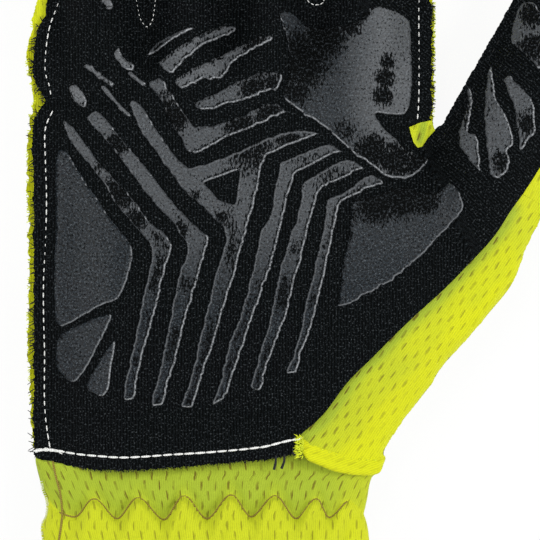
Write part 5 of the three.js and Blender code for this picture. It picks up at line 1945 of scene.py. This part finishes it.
    def strip(self, part: Part) -> Shell:
        """Returns the yellow strip along the thumb's outer side, from the black edge to the silhouette."""
        digit = part.digit
        inner = self.split(part)
        inner = inner - right_of(inner) * 0.4
        outer = digit.side(1, part.span, 1.0, 0.0)
        across = line(inner[-1], outer[-1])
        if part.tip:
            black = self.open_tip(digit, self.allowance, False)[-1]
            arc = digit.arc(np.linspace(self.strip_turn, math.pi, 8), 0.0)
            across = Stroke(np.vstack([inner[-1], black + (0.2, 0.1), arc[1:-1], outer[-1]]))
        strokes = [Stroke(inner), across, Stroke(outer[::-1]), line(outer[0], inner[0])]
        shell = self.side.shell(outline_of(strokes, self.sewing.edge_step), 0.9, 27, digit)
        shell.marks["stretch"] = np.full(len(shell.verts), 0.1)
        return shell

    def seams(self, part: Part, top: Height) -> Shell:
        """Returns the stitches along both sides and round the tip, or along the thumb's one sewn side."""
        digit, thumb = part.digit, part.digit.strip > 0
        first, last = part.span
        s = np.linspace(*((first + 1, last) if part.tip else (0.0, last - 1)), 20)
        left, right = digit.world(-digit.half(s) - 0.1, s), digit.world(digit.half(s) + 0.1, s)
        paths = [left] if thumb else [left, right]
        if part.tip:
            arc = digit.arc(np.linspace(0, math.pi * (0.6 if thumb else 1), 17), 0.1)[1:]
            paths = [np.vstack([left, arc] if thumb else [left, arc, right[::-1][1:]])]
        return joined([self.sewing.stitch_row(resample(path, 0.5), top) for path in paths])

    def pad(self, digit: Digit, top: Height) -> Shell:
        """Returns the grip pad of a finger's last part: a rounded field with slanted slots."""
        start, end = mix(digit.base_length, digit.length, 0.3), digit.length * 0.9
        s = np.array([start, start + 2, mix(start, end, 0.5), end - 3, end])
        half = digit.half(s) * np.array([0.46, 0.6, 0.62, 0.6, 0.46])
        ring = closed_curve(np.vstack([digit.world(-half, s), digit.world(half, s)[::-1]]), 0.35)
        slots = []
        for centre in (mix(start, end, k / 4) for k in range(1, 4)):
            reach = float(digit.half(np.array([centre]))[0]) * 0.36
            rows = [centre - 1.4, centre + 0.5, centre + 1.4, centre - 0.5, centre - 1.4]
            slots.append(resample(digit.world([-reach, reach, reach, -reach, -reach], rows), 0.4)[:-1])
        return GripPrint(self.sewing).shell(ring, slots, top, Print(band=0.0, ragged=0.3))


@dataclass
class Gusset:
    """Small folded yellow piece that closes the crotch between the index finger and the thumb."""

    sewing: Sewing
    edge: Points = (
        (409.5, 127), (421.5, 122), (432, 120), (435.5, 130), (428, 138), (423, 146), (418, 147.5),
        (413.5, 142),
    )
    fold: Points = ((424, 121), (423, 130), (420, 140))

    def build(self) -> None:
        """Makes the piece: it lies on the palm, higher at both sides of the fold in its middle."""
        sides = zip(self.edge, self.edge[1:] + self.edge[:1])
        strokes = [Stroke(PHOTO.place(side), fray=0.07) for side in sides]
        flat, faces, depth = cut_pattern(outline_of(strokes, 0.3, seed=81), 0.5)
        base = self.sewing.form.front_top()(*flat.T)
        away = distance_to(flat, PHOTO.curve(self.fold, 0.5))
        folded = 0.75 * np.exp(-(away / 0.8) ** 2) * limit(depth / 0.8)
        height = base + 0.35 + 0.6 * limit(depth / 1.2) - folded
        under = np.minimum(base - 0.2, height - 0.3)
        shell = shell_between(flat, faces, height, under, self.sewing.weave.turned(flat, 20) + 0.6)
        # Painted shade: the stretch mark darkens the yellow in the crease along the fold.
        shell.marks["stretch"] = np.tile(0.9 * np.exp(-(away / 0.9) ** 2) + 0.35, 2)
        make_piece("crotch_gusset_cloth", shell, self.sewing.finishes.mesh, "crotch_gusset")


@dataclass
class Cuff:
    """Gathered cuff: two mesh halves, drawn in by an elastic that a zigzag holds, with a hemmed mouth."""

    sewing: Sewing
    left: Points = (
        (41, 440), (37, 452), (34.5, 460), (36, 469), (39, 481), (41, 491), (44, 499), (45.5, 509), (44, 518),
        (41, 523), (40, 530), (41, 540), (42, 560), (41, 590), (39, 620), (38, 636),
    )
    right: Points = (
        (371, 440), (375, 455), (377, 466), (377, 474), (373, 477), (370, 485), (368, 497), (365, 511),
        (364, 514.5), (366, 520), (368, 528), (369.5, 540), (371, 560), (373, 590), (375, 620), (376, 636),
    )
    zigzag: Points = (
        (46, 499), (59, 513), (76, 517), (94, 499), (117, 519), (138, 498), (164, 520), (184, 496),
        (207, 519), (231, 495), (251, 517), (275, 496), (296, 519), (316, 499), (329, 518), (347, 502),
        (362, 512),
    )
    seam: Points = (
        (52.5, 462), (56, 478), (60, 493), (62, 512), (61, 527), (59, 540), (59, 570), (58, 600), (58, 636),
    )
    creases: tuple[float, ...] = (-14, 30, 76, 117, 164, 207, 251, 296, 329, 362, 395)
    top_row: float = 448
    hem_row: float = 466
    gather_row: float = 490
    elastic_row: float = 508
    mouth_row: float = 636
    cloth: float = 0.8
    front_rise: tuple[float, float] = (7.4, 8.6)
    back_rise: tuple[float, float] = (9.9, 10.7)
    back_limit: float = 11.3
    roundness: tuple[float, float] = (0.8, 0.85)
    drawn_in: float = 1.7
    band_rise: float = 0.35
    elastic_rise: tuple[float, float] = (4.6, 7.6)
    gather: float = 0.6
    puff: float = 1.5
    crease_lean: float = 0.5
    elastic_width: float = 9.0
    elastic_thickness: float = 0.8
    columns: int = 300
    row_step: float = 0.55

    def edges(self, y: Array) -> tuple[Array, Array]:
        """Returns x of the left and right silhouettes at y."""
        found = []
        for side in (self.left, self.right):
            path = PHOTO.curve(side, 0.5)
            order = np.argsort(path[:, 1])
            found.append(np.interp(y, path[order, 1], path[order, 0]))
        return found[0], found[1]

    def below_zigzag(self, x: Array, y: Array) -> Array:
        """Returns how far a place lies below the zigzag, in mm."""
        path = PHOTO.curve(self.zigzag, 0.5)
        return np.interp(x, path[:, 0], path[:, 1]) - y

    def tuck(self, x: Array, y: Array, height: Array) -> Array:
        """Returns the front's height over the seam, held under the palm panel above the palm's hem."""
        form = self.sewing.form
        hem = PHOTO.place([*Palm.hem_edge[:-1], *ThumbSide.hem_lower])
        room = form.front_top()(x, y) - form.seam_height - form.cloth - 0.2
        over = ease((y - np.interp(x, hem[:, 0], hem[:, 1]) + 0.1) / 0.8)
        return mix(height, np.minimum(height, room), over)

    def point(self, turn: Array, y: Array, inset: float) -> Array:
        """Point of the cuff: a superellipse across, raised by puffs under the zigzag and by the gathers.

        Args:
            turn: Angle round the section, 0 at the thumb side and pi at the outer side, over the front.
            y: Place along.
            inset: Distance inside the outer face.

        Returns:
            Points with three coordinates.
        """
        left, right = self.edges(y)
        centre, half = (left + right) / 2, (right - left) / 2
        x = centre + half * np.sign(np.cos(turn)) * np.abs(np.cos(turn)) ** self.roundness[0]
        reach = np.abs(np.sin(turn)) ** self.roundness[1]
        down = self.below_zigzag(x, y)
        puffed = ease(down / 1.1)
        drawn = np.exp(-((down + 1.0) / 3.2) ** 2) * self.drawn_in
        hem_y, mouth = PHOTO.spot(0, self.hem_row)[1], PHOTO.spot(0, self.mouth_row)[1]
        free = ease((hem_y - y) / 2.5)
        fade = ease((y - mouth) / 14)
        folds = PHOTO.place([(crease, 0) for crease in self.creases])[:, 0]
        phase = np.interp(x + self.crease_lean * np.maximum(down, 0), folds, np.arange(len(folds)))
        crease = np.exp(-((phase - np.round(phase)) * 11.8 / 1.5) ** 2)
        wave = np.cos((phase - np.floor(phase) - 0.5) * 2 * np.pi) - 0.8 * crease * (0.35 + 0.65 * fade)
        loose = self.gather * wave * free * (0.25 + 0.75 * puffed) * (0.35 + 0.65 * fade)
        wrinkle = 0.3 * value_noise(x, y * 0.35, 3.1, 23) * free + 0.12 * value_noise(x, y, 1.6, 24) * free
        gathered = self.puff * puffed * mix(0.55, 1.0, fade) + loose + wrinkle
        body = mix(*self.front_rise, ease((hem_y - y) / 9)) - drawn + gathered
        band = self.band_rise * ease((mouth + 8.2 - y) / 0.5) * (1 - 0.6 * ease((mouth + 0.9 - y) / 0.9))
        under = mix(*self.back_rise, free) - drawn * 0.6 + 0.4 * puffed + 0.35 * loose + 0.4 * wrinkle
        height = np.where(np.sin(turn) >= 0, self.tuck(x, np.broadcast_to(y, x.shape), (body + band) * reach),
                          -np.minimum(under + band * 0.5, self.back_limit) * reach)
        shrink = np.maximum(1 - inset / np.maximum(np.abs(height), inset + 0.2), 0.04)
        x = centre + (x - centre) * (1 - inset / np.maximum(half, 1))
        z = self.sewing.form.seam_height + height * shrink
        return np.stack([x, np.broadcast_to(y, x.shape), z], axis=-1)

    def half(self, start: float, end: float) -> Shell:
        """Returns one half of the cuff between two turns, a closed shell one cloth thick."""
        top, mouth = PHOTO.spot(0, self.top_row)[1], PHOTO.spot(0, self.mouth_row)[1]
        turn = np.linspace(start, end, self.columns)[None, :]
        turn, y = np.broadcast_arrays(turn, np.arange(mouth, top, self.row_step)[:, None])
        outer, inner = self.point(turn, y, 0.0), self.point(turn, y, self.cloth)
        steps = np.linalg.norm(np.diff(outer[len(y) // 2][:, [0, 2]], axis=0), axis=1)
        around = np.concatenate([[0], np.cumsum(steps)])
        lean = np.interp(outer[..., 0], [-50, -15, 5, 38], [-0.32, 0.0, 0.0, 0.3])
        cloth = np.stack([around[None, :] + lean * (y - PHOTO.spot(0, self.gather_row)[1]), y], axis=2)
        shell = grid_shell(outer[:, ::-1], inner[:, ::-1], cloth[:, ::-1])
        # Stretch mark: greener above the zigzag, where the mesh is stretched over the elastic, with painted
        # shade in that recess, and painted shade over the left side, turned from the key lamp.
        down = self.below_zigzag(outer[..., 0], y)
        above = 0.75 * ease((-down) / 0.8) * (0.75 + 0.25 * ease(-down / 6))
        tight_and_shaded = np.where(down < 0, above, 0.12 * np.exp(-down / 4))
        lit_side_share = ease((outer[..., 0] - 20) / 30)
        marks = (tight_and_shaded * (1 - 0.8 * lit_side_share) + 0.3 * (1 - lit_side_share) - 0.05)[:, ::-1].ravel()
        shell.marks["stretch"] = np.concatenate([marks, marks])
        return shell

    def height(self, x: Array, y: Array) -> Array:
        """Returns the height of the cuff's front at each place."""
        turn = np.linspace(0, math.pi, 240)
        found = np.empty(len(x))
        for k, (px, py) in enumerate(zip(x, y)):
            row = self.point(turn, np.full_like(turn, py), 0.0)
            found[k] = np.interp(-px, -row[:, 0], row[:, 2])
        return found

    def build(self) -> None:
        """Makes both halves, the seams, the zigzag, the hem stitches and the elastic."""
        for name, start in (("front", 0.0), ("back", math.pi)):
            half = self.half(start, start + math.pi)
            make_piece(f"cuff_{name}_cloth", half, self.sewing.finishes.mesh, f"cuff_{name}")
        self.build_lines()
        self.build_elastic()

    def build_lines(self) -> None:
        """Makes the zigzag thread and the side seam, both in a brown with painted crease shade, and the
        stitches of the mouth's hem.
        """
        sewing, finishes = self.sewing, self.sewing.finishes
        # Zigzag and side seam: sunk tubes whose brown is partly thread and partly painted crease shade.
        zig, seam = PHOTO.curve(self.zigzag[1:-1], 0.7), PHOTO.curve(self.seam, 0.9)
        lines = [tube(np.column_stack([zig, self.height(*zig.T) - 0.16]), 0.34),
                 tube(np.column_stack([seam, self.height(*seam.T)]), 0.3)]
        edge = PHOTO.curve(self.left[4:13], 0.3)
        lint = sewing.fibres(edge + (0.35, 0.0), sewing.form.seam_height + 2.4, 90, 0.6, 95, radius=0.07)
        make_piece("cuff_side_lint", lint, finishes.white_thread)
        make_piece("cuff_threads_in_crease_shade", joined(lines), finishes.shaded_seam_thread)
        x = np.linspace(-46, 36, 90)
        hem = np.column_stack([x, np.full(len(x), PHOTO.spot(0, self.mouth_row)[1] + 7)])
        level = self.height(*hem.T)
        row = sewing.stitch_row(hem, lambda px, _: np.interp(px, x, level), Stitch(length=1.6, radius=0.18))
        make_piece("cuff_hem_stitches", row, finishes.yellow_thread)

    def build_elastic(self) -> None:
        """Makes the elastic: a flat ribbed loop that follows the inside of the cuff behind the zigzag."""
        centre, reach = PHOTO.spot(0, self.elastic_row)[1], self.elastic_width / 2
        turn, y = np.broadcast_arrays(np.linspace(0, 2 * math.pi, 160, endpoint=False)[None, :],
                                      np.linspace(centre - reach, centre + reach, 13)[:, None])
        left, right = self.edges(np.full(1, centre))
        middle, half = (left[0] + right[0]) / 2, (right[0] - left[0]) / 2 - 3.2
        across = half * np.sign(np.cos(turn)) * np.abs(np.cos(turn)) ** self.roundness[0]
        rise = np.where(np.sin(turn) >= 0, *self.elastic_rise)

        def ring(inset: float) -> Array:
            """Returns one face of the loop, the inset inside its outer face."""
            lift = np.sign(np.sin(turn)) * np.abs(np.sin(turn)) ** self.roundness[1] * (rise - inset)
            x = middle + across * (1 - inset / half)
            return np.stack([x, y, self.sewing.form.seam_height + lift], axis=-1)[:, ::-1]
        cloth = np.stack(np.broadcast_arrays(turn * half, y - centre), axis=2)[:, ::-1]
        shell = grid_shell(ring(0.0), ring(self.elastic_thickness), cloth, closed=True)
        make_piece("wrist_elastic_band", shell, self.sewing.finishes.elastic, "wrist_elastic")


@dataclass(frozen=True)
class Studio:
    """Pale floor, soft lamps with a place, a size and a power, and the camera straight over the palm."""

    distance: float = 1.5
    sensor: float = 36.0
    plane: float = 0.018
    reach: float = 3.0
    camera_glow: float = 0.93
    lamps: tuple = (
        ("key", (0.85, -0.6, 0.95), 0.7, 9.0), ("fingers", (-0.2, 0.7, 1.2), 0.45, 5.0),
        ("index", (1.2, 0.28, 0.95), 0.45, 7.0), ("left", (-1.0, 0.1, 0.75), 0.5, 7.5),
    )

    def build(self) -> None:
        """Makes the floor, the world, the lamps and the camera."""
        self.build_floor()
        self.build_world()
        self.build_lamps()
        self.build_camera()

    def build_floor(self) -> None:
        """Makes a matt white floor that shows white to the camera and still takes the glove's shadow."""
        material, node = new_material("white_paper_floor")
        matt = node("BsdfDiffuse", {"Color": (0.9, 0.9, 0.9, 1)})
        glow = node("Emission", {"Color": (1, 1, 1, 1), "Strength": 1.0})
        seen = node("LightPath").outputs["Is Camera Ray"]
        share = node("Math.MULTIPLY", {0: seen, 1: self.camera_glow})
        node("OutputMaterial", {"Surface": node("MixShader", {0: share, 1: matt, 2: glow})})
        mesh = bpy.data.meshes.new("floor")
        corners = [(x * self.reach, y * self.reach, 0) for x, y in ((-1, -1), (1, -1), (1, 1), (-1, 1))]
        mesh.from_pydata(corners, [], [(0, 1, 2, 3)])
        mesh.materials.append(material)
        floor = bpy.data.objects.new("floor", mesh)
        bpy.context.scene.collection.objects.link(floor)

    def build_world(self) -> None:
        """Makes a white sky, dimmer as a light than as the camera sees it."""
        world = bpy.data.worlds.new("studio")
        world.use_nodes = True
        world.node_tree.nodes.clear()
        node = partial(add, world.node_tree)
        seen = node("LightPath").outputs["Is Camera Ray"]
        strength = node("MapRange", {"To Min": 0.4, "To Max": 1.0, "Value": seen})
        node("OutputWorld", {"Surface": node("Background", {"Color": (1, 1, 1, 1), "Strength": strength})})
        bpy.context.scene.world = world

    def build_lamps(self) -> None:
        """Makes a key lamp low at the wrist's thumb side, and lamps over the fingers, index and left side."""
        for name, place, size, power in self.lamps:
            lamp = bpy.data.lights.new(name, "AREA")
            lamp.size, lamp.energy = size, power
            made = bpy.data.objects.new(name, lamp)
            made.location = place
            back = np.array(place) / np.linalg.norm(place)
            made.rotation_euler = (math.acos(back[2]), 0.0, math.atan2(back[1], back[0]) + math.pi / 2)
            bpy.context.scene.collection.objects.link(made)

    def build_camera(self) -> None:
        """Makes the camera: the photograph's width fills the view at the palm's plane."""
        camera = bpy.data.objects.new("camera", bpy.data.cameras.new("camera"))
        width = PHOTO.size * PHOTO.mm_per_pixel * MM
        camera.data.sensor_width = self.sensor
        camera.data.lens = self.sensor * self.distance / width
        centre = PHOTO.spot(PHOTO.size / 2, PHOTO.size / 2) * MM
        camera.location = (*centre, self.plane + self.distance)
        camera.data.clip_end = 20
        bpy.context.scene.collection.objects.link(camera)
        bpy.context.scene.camera = camera
        bpy.context.scene.view_settings.view_transform = "Standard"


def main() -> None:
    """Builds the glove over its frame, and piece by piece."""
    logging.basicConfig(level=logging.INFO, format="%(name)s: %(message)s")
    sewing = Sewing(HandForm(), Weave(), Finishes())
    back, side = Back(sewing), ThumbSide(sewing)
    Studio().build()
    Palm(sewing).build()
    GripPrint(sewing).build()
    side.build()
    back.build()
    DigitCloth(sewing, back, side).build()
    Gusset(sewing).build()
    Cuff(sewing).build()


if __name__ == "__main__":
    main()
